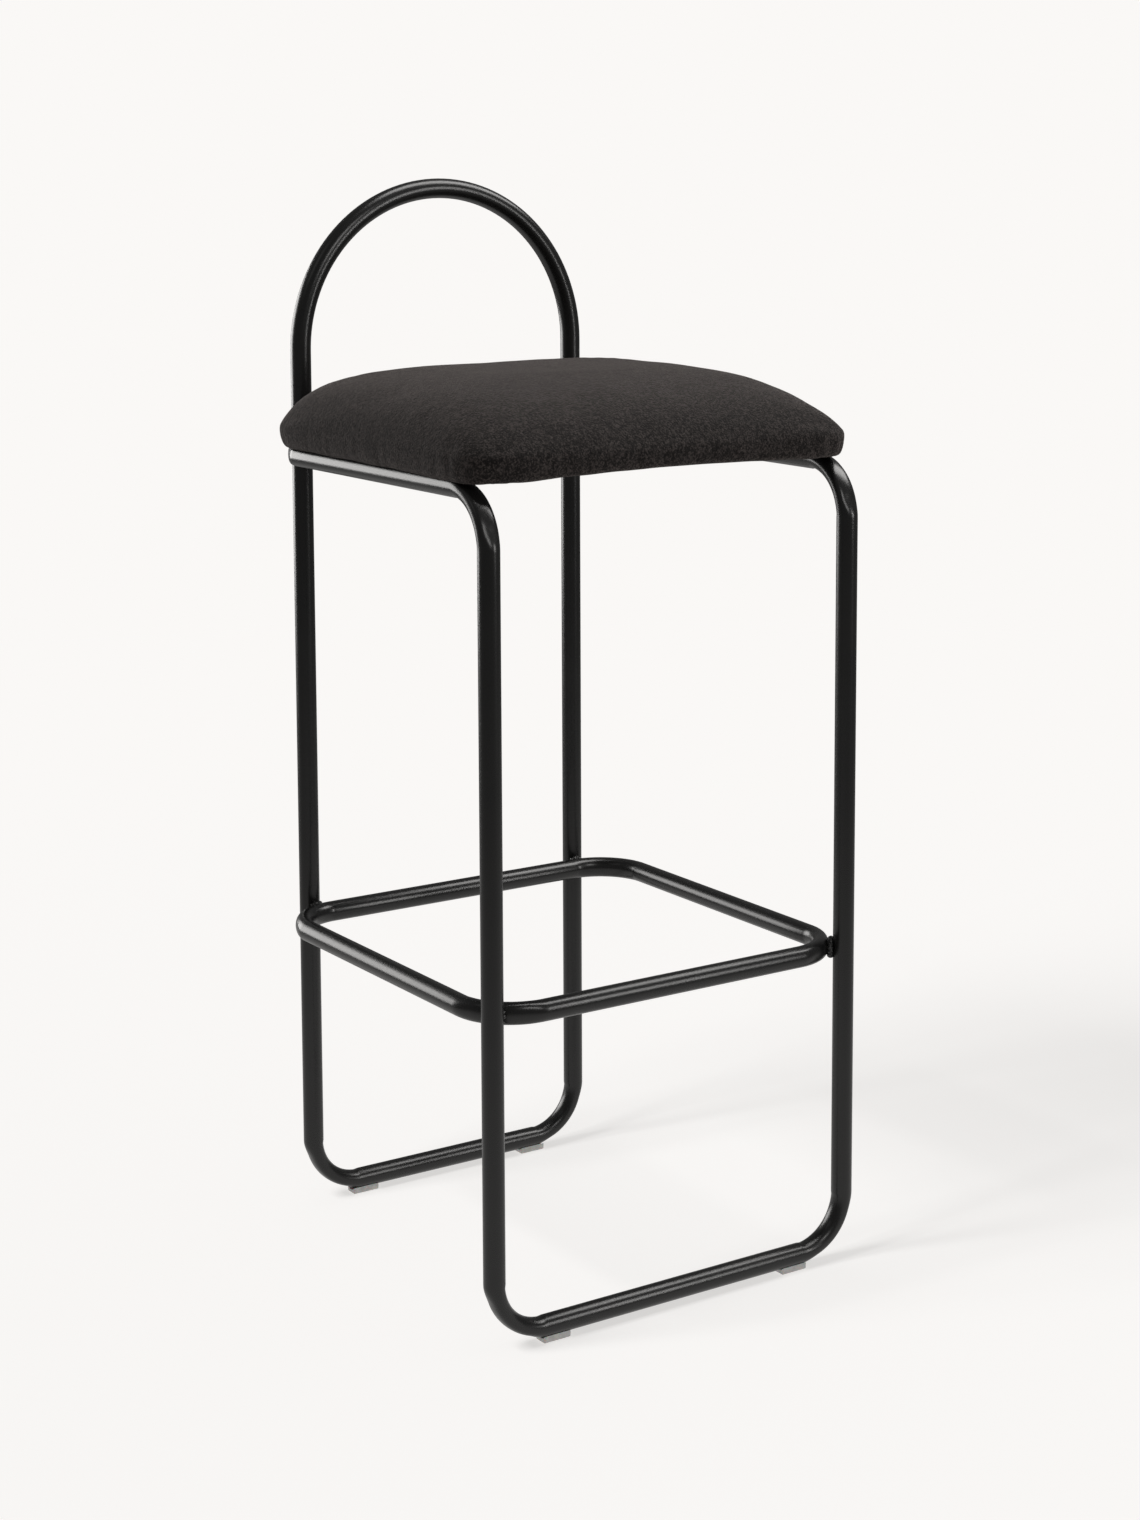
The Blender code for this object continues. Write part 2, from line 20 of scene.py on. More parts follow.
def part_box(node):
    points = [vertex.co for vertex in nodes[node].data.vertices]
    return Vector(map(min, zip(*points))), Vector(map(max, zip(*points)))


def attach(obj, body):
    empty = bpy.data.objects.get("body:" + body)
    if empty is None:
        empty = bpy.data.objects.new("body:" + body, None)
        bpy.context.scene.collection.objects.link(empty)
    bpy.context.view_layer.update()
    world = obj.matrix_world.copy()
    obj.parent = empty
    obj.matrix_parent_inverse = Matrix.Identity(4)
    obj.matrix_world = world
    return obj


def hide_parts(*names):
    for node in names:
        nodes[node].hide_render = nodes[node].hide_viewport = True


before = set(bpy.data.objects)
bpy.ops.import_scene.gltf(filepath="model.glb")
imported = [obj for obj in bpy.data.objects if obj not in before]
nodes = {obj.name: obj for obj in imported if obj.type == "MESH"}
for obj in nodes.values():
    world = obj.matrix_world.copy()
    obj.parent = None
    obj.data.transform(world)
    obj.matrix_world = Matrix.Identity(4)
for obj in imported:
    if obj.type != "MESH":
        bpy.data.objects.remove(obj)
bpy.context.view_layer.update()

print("the frame has", len(nodes), "nodes")

# %% [markdown]
# ## Sizes that the pieces share
#
# A new piece has to land exactly where the solid it stands for is.  Typing its place again would
# let the two drift apart, so the places are read from the boxes of the frame's nodes: half the
# height of the footrest ring is the tube's radius, the front frame's sides give the legs, and so
# on.  Only what a box can't show, such as how tight a bend is, is written here.

# %% Read the frame's places
TUBE_BEND = 0.046              # centre line radius of the cold bends
CORNER_ROOT_GAP = 0.0019       # between the footrest corners and the front legs

ring_low, ring_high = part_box("footrest_ring")
front_low, front_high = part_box("front_frame")
rear_low, rear_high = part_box("rear_frame_with_hoop")
cover_low, cover_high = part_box("seat_cover")

tube = (ring_high.z - ring_low.z) / 2
leg_x = front_high.x - tube
leg_y = front_low.y + tube
rail_z = front_high.z - tube
bar_y = front_high.y - tube
floor_bar_z = front_low.z + tube
ring_z = (ring_high.z + ring_low.z) / 2
hoop_x = rear_high.x - tube
hoop_y = (rear_high.y + rear_low.y) / 2
hoop_z = rear_high.z - tube - hoop_x
ring_bend = (2 * tube + CORNER_ROOT_GAP) / (math.sqrt(2) - 1)
print("tube radius", round(tube, 4), "front legs at", round(leg_x, 4), round(leg_y, 4))
print("hoop centre at", round(hoop_z, 4), "pad from", cover_low, "to", cover_high)

# %% [markdown]
# ## The camera
#
# The stool is seen from the front left, a little above the pad.  A long lens from more than two
# metres away keeps the legs nearly parallel, as in a catalogue.  The camera is tilted down only a
# little, and the lens is shifted to frame the stool, so that the upright legs lean hardly at all.

# %% Place the camera
CAMERA_PLACE = (-1.27376, -1.99128, 0.95350)
CAMERA_TURN = 34.83            # degrees, from +Y towards +X
CAMERA_TILT = -7.38
CAMERA_LENS = 65.71
CAMERA_SHIFT = (-0.0578, -0.1652)

camera_data = bpy.data.cameras.new("camera")
camera_data.lens = CAMERA_LENS
camera_data.sensor_width = 36.0
camera_data.shift_x, camera_data.shift_y = CAMERA_SHIFT
camera = bpy.data.objects.new("camera", camera_data)
camera.location = CAMERA_PLACE
camera.rotation_euler = (math.radians(90 + CAMERA_TILT), 0, math.radians(-CAMERA_TURN))
bpy.context.scene.collection.objects.link(camera)
bpy.context.scene.camera = camera
print("camera at", CAMERA_PLACE)

# %% [markdown]
# ## Helpers
#
# Every new piece goes the same way: a bmesh becomes a mesh object at the origin, with its place in
# its vertices, and rides on the stool's only body.  One short function does that, so that no piece
# can be left behind.  The other helpers make, round and drill the simple shapes that most fittings
# start from.

# %% Turn a bmesh into a piece
DRILL_PAST = 0.002             # how far a drill goes past the faces that it opens


def mesh_of(name, work):
    """Ends a bmesh as a mesh."""
    mesh = bpy.data.meshes.new(name)
    work.to_mesh(mesh)
    work.free()
    return mesh


def crease(piece, degrees):
    """Keeps the edges sharp where faces meet at more than this angle."""
    piece.data.set_sharp_from_angle(angle=math.radians(degrees))


def make_piece(name, work, replaced=(), sharp=None):
    """Ends a bmesh as a named piece that rides on the stool and stands for these nodes."""
    mesh = mesh_of(name, work)
    mesh.shade_smooth()
    piece = bpy.data.objects.new(name, mesh)
    if sharp:
        crease(piece, sharp)
    bpy.context.scene.collection.objects.link(piece)
    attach(piece, "root")
    if replaced:
        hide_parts(*replaced)
    print("made", name, "with", len(mesh.vertices), "vertices")
    return piece


def apply_modifiers(piece):
    """Puts what the modifiers make into the mesh itself."""
    graph = bpy.context.evaluated_depsgraph_get()
    mesh = bpy.data.meshes.new_from_object(piece.evaluated_get(graph))
    piece.modifiers.clear()
    old = piece.data
    piece.data = mesh
    bpy.data.meshes.remove(old)
    mesh.name = piece.name


def combine(piece, work, operation):
    """Cuts a bmesh shape out of a piece, or joins it on."""
    mesh = mesh_of("tool", work)
    tool = bpy.data.objects.new("tool", mesh)
    bpy.context.scene.collection.objects.link(tool)
    both = piece.modifiers.new("both", "BOOLEAN")
    both.operation = operation
    both.solver = "EXACT"
    both.object = tool
    apply_modifiers(piece)
    bpy.data.objects.remove(tool)
    bpy.data.meshes.remove(mesh)


def cut(piece, cutters):
    """Cuts these bmesh shapes out of a piece."""
    for work in cutters:
        combine(piece, work, "DIFFERENCE")


def join(piece, work):
    """Joins a bmesh shape onto a piece."""
    combine(piece, work, "UNION")


def cylinder(diameter, low, high, sides=32):
    """An upright cylinder between two points, one above the other."""
    work = bmesh.new()
    bmesh.ops.create_cone(work, cap_ends=True, segments=sides, radius1=diameter / 2,
                          radius2=diameter / 2, depth=high[2] - low[2])
    bmesh.ops.translate(work, verts=work.verts, vec=(Vector(low) + Vector(high)) / 2)
    return work


def drill(diameter, at, low, high):
    """A cutter for an upright hole here that reaches a little past both of these heights."""
    return cylinder(diameter, (at.x, at.y, low - DRILL_PAST), (at.x, at.y, high + DRILL_PAST))


def soften(work, edges, width, segments):
    """Rounds these edges of a bmesh."""
    bmesh.ops.bevel(work, geom=edges, offset=width, segments=segments, profile=0.5,
                    affect="EDGES", material=-1)


def rounded_slab(low, high, corner, segments=8):
    """A slab between two corners, with its upright edges rounded."""
    work = bmesh.new()
    bmesh.ops.create_cube(work, size=1.0)
    low, high = Vector(low), Vector(high)
    bmesh.ops.scale(work, verts=work.verts, vec=high - low)
    bmesh.ops.translate(work, verts=work.verts, vec=(high + low) / 2)
    upright = [edge for edge in work.edges if abs(edge.verts[0].co.z - edge.verts[1].co.z) > 1e-6]
    soften(work, upright, corner, segments)
    return work


# %% [markdown]
# ## Arithmetic on shader sockets
#
# A material's nodes are easier to read as a formula than as a list of links.  This small class
# holds one socket, and its operators add the Math nodes.  Any other node comes from `node`, which
# sets the node up first and then fills its sockets, so the order of the two never matters.


# %% The socket class
class Signal:
    """A value or a colour on its way through a material's nodes."""

    def __init__(self, tree, socket=None):
        self.tree = tree
        self.socket = socket

    def node(self, kind, settings=None, inputs=None, output=0):
        node = self.tree.nodes.new("ShaderNode" + kind)
        for name, value in (settings or {}).items():
            if name == "stops":
                ramp = node.color_ramp
                while len(ramp.elements) < len(value):
                    ramp.elements.new(0.5)
                for element, (place, colour) in zip(ramp.elements, value):
                    element.position = place
                    element.color = (*colour, 1.0)
            else:
                setattr(node, name, value)
        for name, value in (inputs or {}).items():
            if isinstance(value, Signal):
                self.tree.links.new(value.socket, node.inputs[name])
            else:
                node.inputs[name].default_value = value
        return Signal(self.tree, node.outputs[output])

    def math(self, operation, *values):
        return self.node("Math", {"operation": operation}, dict(enumerate(values)))

    def __add__(self, other):
        return self.math("ADD", self, other)

    def __sub__(self, other):
        return self.math("SUBTRACT", self, other)

    def __rsub__(self, other):
        return self.math("SUBTRACT", other, self)

    def __mul__(self, other):
        return self.math("MULTIPLY", self, other)

    __radd__ = __add__
    __rmul__ = __mul__

    def between(self, low, high):
        """0 below low, 1 above high, and smooth in between."""
        return self.node("MapRange", {"interpolation_type": "SMOOTHSTEP"},
                         {"Value": self, "From Min": low, "From Max": high})

    def mix(self, dark, light):
        """The colour dark where this is 0, and light where it is 1."""
        return self.node("Mix", {"data_type": "RGBA"},
                         {"Factor": self, "A": (*dark, 1.0), "B": (*light, 1.0)}, output=2)

    def noise(self, scale, detail=2.0, roughness=0.5, distortion=0.0):
        return self.node("TexNoise", {"noise_dimensions": "3D"}, {
            "Vector": self, "Scale": scale, "Detail": detail,
            "Roughness": roughness, "Distortion": distortion,
        })

    def cells(self, scale, randomness=1.0):
        return self.node("TexVoronoi", {"voronoi_dimensions": "3D"},
                         {"Vector": self, "Scale": scale, "Randomness": randomness})

    def bump(self, distance, strength=1.0):
        return self.node("Bump", {}, {"Height": self, "Distance": distance, "Strength": strength})


def new_material(name):
    """A material, its Principled shader, and its object coordinates as a Signal."""
    material = bpy.data.materials.new(name)
    material.use_nodes = True
    tree = material.node_tree
    shader = tree.nodes["Principled BSDF"]
    place = Signal(tree).node("TexCoord", output=3)
    return material, shader, place


def finish_with(shader, **sockets):
    """Sets each of the shader's sockets to a constant, or links a Signal to it."""
    for name, value in sockets.items():
        socket = shader.inputs[name.replace("_", " ")]
        if isinstance(value, Signal):
            value.tree.links.new(value.socket, socket)
        else:
            socket.default_value = value


def dress(piece, material):
    """Gives a piece this material and no other."""
    piece.data.materials.clear()
    piece.data.materials.append(material)


print("helpers ready")

# %% [markdown]
# ## Black powder coat
#
# Powder coat is sprayed on dry and melted in an oven.  It flows together to a satin skin with a
# faint orange-peel waviness about a millimetre across, and dust in the oven leaves the odd pin
# point.  A smooth glossy black would look like wet paint, so the gloss is broken twice: a very
# shallow bump for the orange peel, and a slow drift in roughness.  The coat is a dielectric over
# steel, so it isn't metallic at all.


# %% Powder coat
COAT_DRIFT = 1.45              # how much lighter the coat's colour gets at its lightest


def powder_coat(name, roughness, peel, colour=(0.0075, 0.0075, 0.0073)):
    material, shader, place = new_material(name)
    slow = place.noise(14.0, detail=3.0)
    fine = place.noise(950.0, detail=2.0)
    grain = place.noise(3200.0, detail=1.0)
    lighter = tuple(channel * COAT_DRIFT for channel in colour)
    finish_with(
        shader,
        Base_Color=(slow * 0.6 + fine * 0.4).between(0.35, 0.65).mix(colour, lighter),
        Roughness=slow * 0.06 + grain * 0.05 + (roughness - 0.055),
        Normal=(fine + grain * 0.25).bump(peel),
        IOR=1.5,
    )
    return material


coat = powder_coat("black_powder_coat", roughness=0.27, peel=0.000018)
weld_coat = powder_coat("painted_weld", roughness=0.36, peel=0.00012)
tab_coat = powder_coat("tab_powder_coat", roughness=0.36, peel=0.00008)
print("mixed", coat.name, weld_coat.name, "and", tab_coat.name)

# %% [markdown]
# ## Bent tube
#
# A tube bender holds the straight tube and rolls one end round a grooved die.  The outer wall
# stretches and sinks in, the inner wall is pressed against the die, and the flat starts with a
# faint step where the die's clamp ends.  A curve with a round bevel can't show any of that, so
# each loop is made as the machine makes it: a ring of vertices is fed straight by extruding it and
# carried round a bend by spinning it.  The rings of each bend are then pressed flat, and the last
# ring is merged into the first, because the real loop is butt welded there and ground smooth.

# %% The tube bender
TUBE_SIDES = 48
FEED_STEP = 0.030              # between rings on a straight
BEND_STEP = math.radians(2.5)
OUTER_SINK = 0.34              # share of the radius that the outer wall sinks in a bend
INNER_PRESS = 0.10
SIDE_SPREAD = 0.035
SINK_RUN = math.radians(20)    # how far into the bend the flat takes to form
PRESS_RUN = math.radians(5)
RING_PRESSED = 0.6             # the footrest's bends are pressed less than the legs'
HOOP_PRESSED = 0.08            # and the wide hoop hardly at all


def eased(share):
    """0 to 1 as share goes from 0 to 1, flat at both ends."""
    share = min(max(share, 0.0), 1.0)
    return share * share * (3 - 2 * share)


class Bender:
    """Feeds one tube along, straight by straight and bend by bend."""

    def __init__(self, place, direction):
        self.work = bmesh.new()
        self.place = Vector(place)
        self.ahead = Vector(direction)
        bmesh.ops.create_circle(self.work, segments=TUBE_SIDES, radius=tube)
        turn = Vector((0, 0, 1)).rotation_difference(self.ahead).to_matrix()
        bmesh.ops.rotate(self.work, verts=self.work.verts, matrix=turn)
        bmesh.ops.translate(self.work, verts=self.work.verts, vec=self.place)
        self.ring = list(self.work.edges)

    def feed(self, length):
        """Pushes the tube straight ahead."""
        steps = max(1, round(length / FEED_STEP))
        for _ in range(steps):
            made = bmesh.ops.extrude_edge_only(self.work, edges=self.ring)["geom"]
            ends = [part for part in made if isinstance(part, bmesh.types.BMVert)]
            bmesh.ops.translate(self.work, verts=ends, vec=self.ahead * length / steps)
            self.ring = [part for part in made if isinstance(part, bmesh.types.BMEdge)
                         and all(end in ends for end in part.verts)]
        self.place += self.ahead * length

    def bend(self, towards, radius, angle=math.pi / 2, pressed=1.0):
        """Rolls the tube round towards this side, and presses the bend flat."""
        towards = Vector(towards).normalized()
        centre = self.place + towards * radius
        axis = self.ahead.cross(towards)
        old = set(self.work.verts)
        spun = bmesh.ops.spin(
            self.work, geom=self.ring, cent=centre, axis=axis, angle=angle,
            steps=round(angle / BEND_STEP), use_duplicate=False, use_merge=False,
        )
        self.ring = [part for part in spun["geom_last"] if isinstance(part, bmesh.types.BMEdge)]
        for vertex in self.work.verts:
            if vertex not in old:
                self.press(vertex, centre, axis, -towards, radius, angle, pressed)
        roll = Matrix.Rotation(angle, 3, axis)
        self.place = centre + roll @ (self.place - centre)
        self.ahead = roll @ self.ahead

    def press(self, vertex, centre, axis, first, radius, angle, pressed):
        """Moves one vertex of a bend as the die does."""
        arm = vertex.co - centre
        off_plane = axis * arm.dot(axis)
        arm -= off_plane
        out = arm.normalized()
        share = (arm.length - radius) / tube
        turned = first.angle(out)
        reach = min(turned, angle - turned)
        if share > 0:
            share -= pressed * OUTER_SINK * eased(reach / SINK_RUN) * share**2
        else:
            share += pressed * INNER_PRESS * eased(reach / PRESS_RUN) * share**2
        spread = 1 + pressed * SIDE_SPREAD * eased(reach / SINK_RUN)
        vertex.co = centre + out * (radius + share * tube) + off_plane * spread

    def close(self, name, node):
        """Merges the last ring into the first, and ends the loop as a painted piece."""
        bmesh.ops.remove_doubles(self.work, verts=self.work.verts, dist=0.00002)
        bmesh.ops.recalc_face_normals(self.work, faces=self.work.faces)
        piece = make_piece(name, self.work, (node,))
        dress(piece, coat)
        return piece


# %% Bend the three loops
X, Y, Z = Vector((1, 0, 0)), Vector((0, 1, 0)), Vector((0, 0, 1))


def bend_front_frame():
    """From the middle of the floor bar, up the right leg, round the seat and down the left leg."""
    bender = Bender((0, leg_y, floor_bar_z), X)
    bender.feed(leg_x - TUBE_BEND)
    bender.bend(Z, TUBE_BEND)
    bender.feed(rail_z - floor_bar_z - 2 * TUBE_BEND)
    bender.bend(Y, TUBE_BEND)
    bender.feed(bar_y - leg_y - 2 * TUBE_BEND)
    bender.bend(-X, TUBE_BEND)
    bender.feed(2 * (leg_x - TUBE_BEND))
    bender.bend(-Y, TUBE_BEND)
    bender.feed(bar_y - leg_y - 2 * TUBE_BEND)
    bender.bend(-Z, TUBE_BEND)
    bender.feed(rail_z - floor_bar_z - 2 * TUBE_BEND)
    bender.bend(X, TUBE_BEND)
    bender.feed(leg_x - TUBE_BEND)
    return bender.close("front_frame_tube", "front_frame")


def bend_rear_frame():
    """From the middle of the floor bar, up the right leg, over the hoop and down the left leg."""
    bender = Bender((0, hoop_y, floor_bar_z), X)
    bender.feed(hoop_x - TUBE_BEND)
    bender.bend(Z, TUBE_BEND)
    bender.feed(hoop_z - floor_bar_z - TUBE_BEND)
    bender.bend(-X, hoop_x, angle=math.pi, pressed=HOOP_PRESSED)
    bender.feed(hoop_z - floor_bar_z - TUBE_BEND)
    bender.bend(X, TUBE_BEND)
    bender.feed(hoop_x - TUBE_BEND)
    return bender.close("rear_frame_and_hoop_tube", "rear_frame_with_hoop")


def bend_footrest():
    """A flat rounded rectangle, from the middle of its rear bar."""
    bender = Bender((0, bar_y, ring_z), -X)
    across = 2 * (leg_x - ring_bend)
    along = bar_y - leg_y - 2 * ring_bend
    bender.feed(across / 2)
    for towards, length in ((-Y, along), (X, across), (Y, along), (-X, across / 2)):
        bender.bend(towards, ring_bend, pressed=RING_PRESSED)
        bender.feed(length)
    return bender.close("footrest_ring_tube", "footrest_ring")


front_tube = bend_front_frame()
rear_tube = bend_rear_frame()
ring_tube = bend_footrest()

# %% [markdown]
# ## The pad's shape
#
# The real pad is a block of foam on a plywood board, domed by its wrapping and drawn down by the
# cloth that is stapled underneath.  Seen from above it is nearly square.  From the side it is full
# at the back and the flanks, and slopes away at the front, where it must not press into the
# sitter's thighs.
#
# The shape could be sculpted from a cube with a few bevels, but then the front couldn't slope
# more than the sides.  So a finely cut cube is moved onto a formula instead: a superellipse gives
# the plan, and the dome is the product of two falls, one towards the sides and one towards the
# front or the back, each with its own power.  A product has no hollow anywhere, which one power
# that changes with the direction would leave in the middle of the front.

# %% Shape the foam
PLAN_POWER = 12.0              # 2 is an ellipse, higher is squarer
FRONT_POWER = 2.8              # how late the dome falls away: towards the front,
REAR_POWER = 6.0               # the back
SIDE_POWER = 7.0               # and the sides
CROWN_POWER = 1.32             # how steeply the dome meets the widest line
RIM_POWER = 40                 # brings the crown down to the widest line at the corners
EDGE_DROP = 0.0024             # how far the soft edge hangs below the board
LEFT_DROP = 0.0021             # how much more of it hangs along the left side
CORNER_DROP = 0.0025           # and at the front left corner, where the wrapping ends
RIGHT_DROP = 0.0038            # and at the front right corner
EDGE_HEIGHT = 0.018            # from the bottom of the soft edge up to the widest line
EDGE_TUCK = 0.0055             # how far the cloth turns in below the widest line
CROWN_SETTLE = 0.0012          # the cloth lies this much under the solid's top
ROUND_OFF = 0.0012             # what remeshing and subdividing take off the pad's edges
CUBE_CUTS = 47
ON_FACE = 0.999                # past this, a point of the cube lies on its top or its side

pad_middle = (cover_low + cover_high) / 2
pad_half_x = (cover_high.x - cover_low.x) / 2
pad_half_y = (cover_high.y - cover_low.y) / 2
pad_under = cover_low.z
pad_widest = pad_under - EDGE_DROP + EDGE_HEIGHT
pad_top = cover_high.z - CROWN_SETTLE


def pad_point(across, along, up):
    """Where a point of the cube from -1 to 1 goes on the pad."""
    edge = max(abs(across), abs(along), 0.0001)
    share = math.sin(edge * math.pi / 2)
    turn = math.atan2(along, across)
    plan = (abs(math.cos(turn))**PLAN_POWER + abs(math.sin(turn))**PLAN_POWER) ** (-1 / PLAN_POWER)
    out_x, out_y = plan * math.cos(turn), plan * math.sin(turn)
    if up > ON_FACE:
        sideways = 1 - abs(share * out_x)**SIDE_POWER
        along_pad = 1 - abs(share * out_y)**(REAR_POWER if along > 0 else FRONT_POWER)
        rise = (sideways * along_pad) ** (1 / CROWN_POWER) * (1 - share**RIM_POWER)
        height = pad_widest + (pad_top - pad_widest) * rise
    elif edge < ON_FACE:
        height = pad_under
        share *= 1 - EDGE_TUCK / pad_half_y
    else:
        low = (1 - up) / 2
        height = pad_widest + (pad_under - pad_widest) * low
        share = 1 - EDGE_TUCK / pad_half_y * (1 - math.sqrt(max(1 - low**2, 0)))
    return Vector((
        pad_middle.x + (pad_half_x + ROUND_OFF) * out_x * share,
        pad_middle.y + (pad_half_y + ROUND_OFF) * out_y * share,
        height,
    ))


def shape_pad():
    """A finely cut cube moved onto the pad's formula."""
    work = bmesh.new()
    bmesh.ops.create_cube(work, size=2.0)
    bmesh.ops.subdivide_edges(work, edges=work.edges, cuts=CUBE_CUTS, use_grid_fill=True)
    for vertex in work.verts:
        vertex.co = pad_point(*vertex.co)
    bmesh.ops.recalc_face_normals(work, faces=work.faces)
    return work


print("the pad is widest at", round(pad_widest, 4), "and its crown reaches", round(pad_top, 4))

# %% [markdown]
# ## The cushion, blown up as cloth
#
# A formula gives a shape that is too perfect for upholstery.  So the pad is first made a little
# smaller, cut into even cells by a voxel remesh, and then blown up as cloth from inside, with its
# underside and the staples along its lower edge held still.  The cloth bulges between the staples
# and stays drawn in at them.  No point may travel further than the pad was shrunk, which keeps the
# finished cushion at its measured size.

# %% Blow the cushion up
VOXEL = 0.0045                 # size of the even cells
SWELL = 0.0020                 # how far the crown starts below its final shape
STAPLE_PITCH = 0.024
STAPLE_HOLD = 0.30             # share of the pitch that a staple holds
STAPLE_STRENGTH = 0.9          # 1 would hold the cloth quite still
STAPLE_WANDER = 0.35           # share of the pitch that a staple strays
BOARD_HOLD = 0.002             # up to this height the cloth lies on the board
STAPLES_UP_TO = 0.008          # and up to this one the staples hold it
CLOTH_FRAMES = 14
PRESSURE = 1.2


def around_pad(place):
    """The distance round the pad's edge, from the middle of its right side, as seen from above."""
    turn = math.atan2((place.y - pad_middle.y) / pad_half_y, (place.x - pad_middle.x) / pad_half_x)
    across, along = math.cos(turn), math.sin(turn)
    if abs(across) >= abs(along):
        walked = along / abs(across) * pad_half_y
        quarter = 0 if across > 0 else 2
        walked = walked if across > 0 else -walked
    else:
        walked = -across / abs(along) * pad_half_x
        quarter = 1 if along > 0 else 3
        walked = walked if along > 0 else -walked
    return walked + quarter * (pad_half_x + pad_half_y)


def held_still(place):
    """1 where the cushion is stapled or rests on its board, 0 where the cloth is free."""
    height = place.z - pad_under
    if height < BOARD_HOLD:
        return 1.0
    along = around_pad(place) / STAPLE_PITCH + STAPLE_WANDER * noise.noise(place * 30)
    at_staple = abs(along - round(along)) < STAPLE_HOLD / 2
    return STAPLE_STRENGTH if at_staple and height < STAPLES_UP_TO else 0.0


def simulate(cushion):
    """Lets the cloth swell for a few frames, and keeps no more of it than the pad was shrunk."""
    hold = cushion.vertex_groups.new(name="hold")
    for vertex in cushion.data.vertices:
        hold.add([vertex.index], held_still(vertex.co), "REPLACE")
    start = [vertex.co.copy() for vertex in cushion.data.vertices]
    cloth = cushion.modifiers.new("cloth", "CLOTH")
    settings = cloth.settings
    settings.quality = 6
    settings.mass = 0.3
    settings.use_pressure = True
    settings.uniform_pressure_force = PRESSURE
    settings.tension_stiffness = 12.0
    settings.compression_stiffness = 12.0
    settings.shear_stiffness = 5.0
    settings.bending_stiffness = 0.4
    settings.vertex_group_mass = hold.name
    settings.effector_weights.gravity = 0.0
    cloth.collision_settings.use_collision = False
    scene = bpy.context.scene
    for frame_number in range(1, CLOTH_FRAMES + 1):
        scene.frame_set(frame_number)
    graph = bpy.context.evaluated_depsgraph_get()
    swollen = cushion.evaluated_get(graph).to_mesh()
    moved = [vertex.co.copy() for vertex in swollen.vertices]
    cushion.modifiers.remove(cloth)
    cushion.vertex_groups.clear()
    scene.frame_set(1)
    furthest = 0.0
    for vertex, before, after in zip(cushion.data.vertices, start, moved):
        travel = after - before
        furthest = max(furthest, travel.length)
        if travel.length > SWELL:
            travel *= SWELL / travel.length
        vertex.co = before + travel
    print("the cloth pushed up to", round(furthest * 1000, 1), "mm, capped at", SWELL * 1000)


def make_cushion():
    """The pad, cut into even cells, blown up and made finer."""
    work = shape_pad()
    for vertex in work.verts:
        rise = (vertex.co.z - pad_widest) / (pad_top - pad_widest)
        vertex.co.z -= SWELL * eased(rise)
    cushion = make_piece("seat_cushion", work, ("seat_cover", "foam_pad"))
    remesh = cushion.modifiers.new("even cells", "REMESH")
    remesh.mode = "VOXEL"
    remesh.voxel_size = VOXEL
    apply_modifiers(cushion)
    simulate(cushion)
    finer = cushion.modifiers.new("finer", "SUBSURF")
    finer.levels = finer.render_levels = 1
    apply_modifiers(cushion)
    cushion.data.shade_smooth()
    print("the cushion has", len(cushion.data.polygons), "faces")
    return cushion


cushion = make_cushion()

# %% [markdown]
# ## Staple pulls, pleats and the soft lower edge
#
# Underneath, the cloth is stapled to the board every few centimetres.  Each staple draws a shallow
# groove down the lower side, and at the corners the spare cloth is folded into small pleats.  The
# foam's wrapping hangs a few millimetres below the board all along its edge, and more at the two
# front corners, which hides the board from the side.
#
# The grooves are as fine as the cloth simulation's cells, so they are pressed in afterwards, by
# moving the vertices near the lower edge.

# %% Press in the pulls and pleats
PULL_DEPTH = 0.0009            # of a staple's groove in the cloth
PULL_WIDTH = 0.0045
PULL_HEIGHT = 0.026            # how far up the side a pull reaches
PLEAT_DEPTH = 0.0012
PLEAT_WIDTH = 0.0030
PLEAT_HEIGHT = 0.019
PLEAT_PLACES = (-0.024, -0.011, 0.004, 0.017)   # from the corner, along the edge
REST_GAP = 0.0004              # between the cloth and the tube that it rests on
HANG_START, HANG_FULL = 0.955, 0.972   # shares of the plan where the soft edge begins to hang
HANG_WAVE = 0.16               # how unevenly it hangs
RIM_ZONE = 0.9                 # share of the plan where the pulls begin
CORNER_REACH = 0.12            # how far from a front corner it hangs lower
DRIFTS = ((17, 0.0007), (41, 0.00025))   # slow unevenness of the cloth: how fine, how deep
DRIFT_RISE = 0.02              # height over which it sets in

luck = random.Random(11)
pulls = [(luck.uniform(-0.25, 0.25), luck.uniform(0.25, 1.0)) for _ in range(80)]
pleat_luck = [[luck.uniform(0.5, 1.0) for _ in PLEAT_PLACES] for _ in range(4)]


def plan_share(place):
    """0 in the middle of the pad's plan, 1 on its edge."""
    across = abs(place.x - pad_middle.x) / pad_half_x
    along = abs(place.y - pad_middle.y) / pad_half_y
    return (across**PLAN_POWER + along**PLAN_POWER) ** (1 / PLAN_POWER)


def groove(place):
    """How deep the staples' pulls and the corners' pleats are at this point."""
    height = place.z - pad_under
    walked = around_pad(place)
    step = walked / STAPLE_PITCH
    depth = 0.0
    for index in (math.floor(step), math.floor(step) + 1):
        offset, strength = pulls[index % len(pulls)]
        distance = (step - index - offset) * STAPLE_PITCH / PULL_WIDTH
        depth += strength * PULL_DEPTH * math.exp(-distance**2)
    depth *= 1 - eased(height / PULL_HEIGHT)
    side = pad_half_x + pad_half_y
    for corner in range(4):
        at_corner = corner * side + (pad_half_y if corner % 2 == 0 else pad_half_x)
        for where, strength in zip(PLEAT_PLACES, pleat_luck[corner]):
            distance = (walked - at_corner - where) / PLEAT_WIDTH
            reach = 1 - eased(height / (PLEAT_HEIGHT * strength))
            depth += strength * PLEAT_DEPTH * math.exp(-distance**2) * reach
    return depth


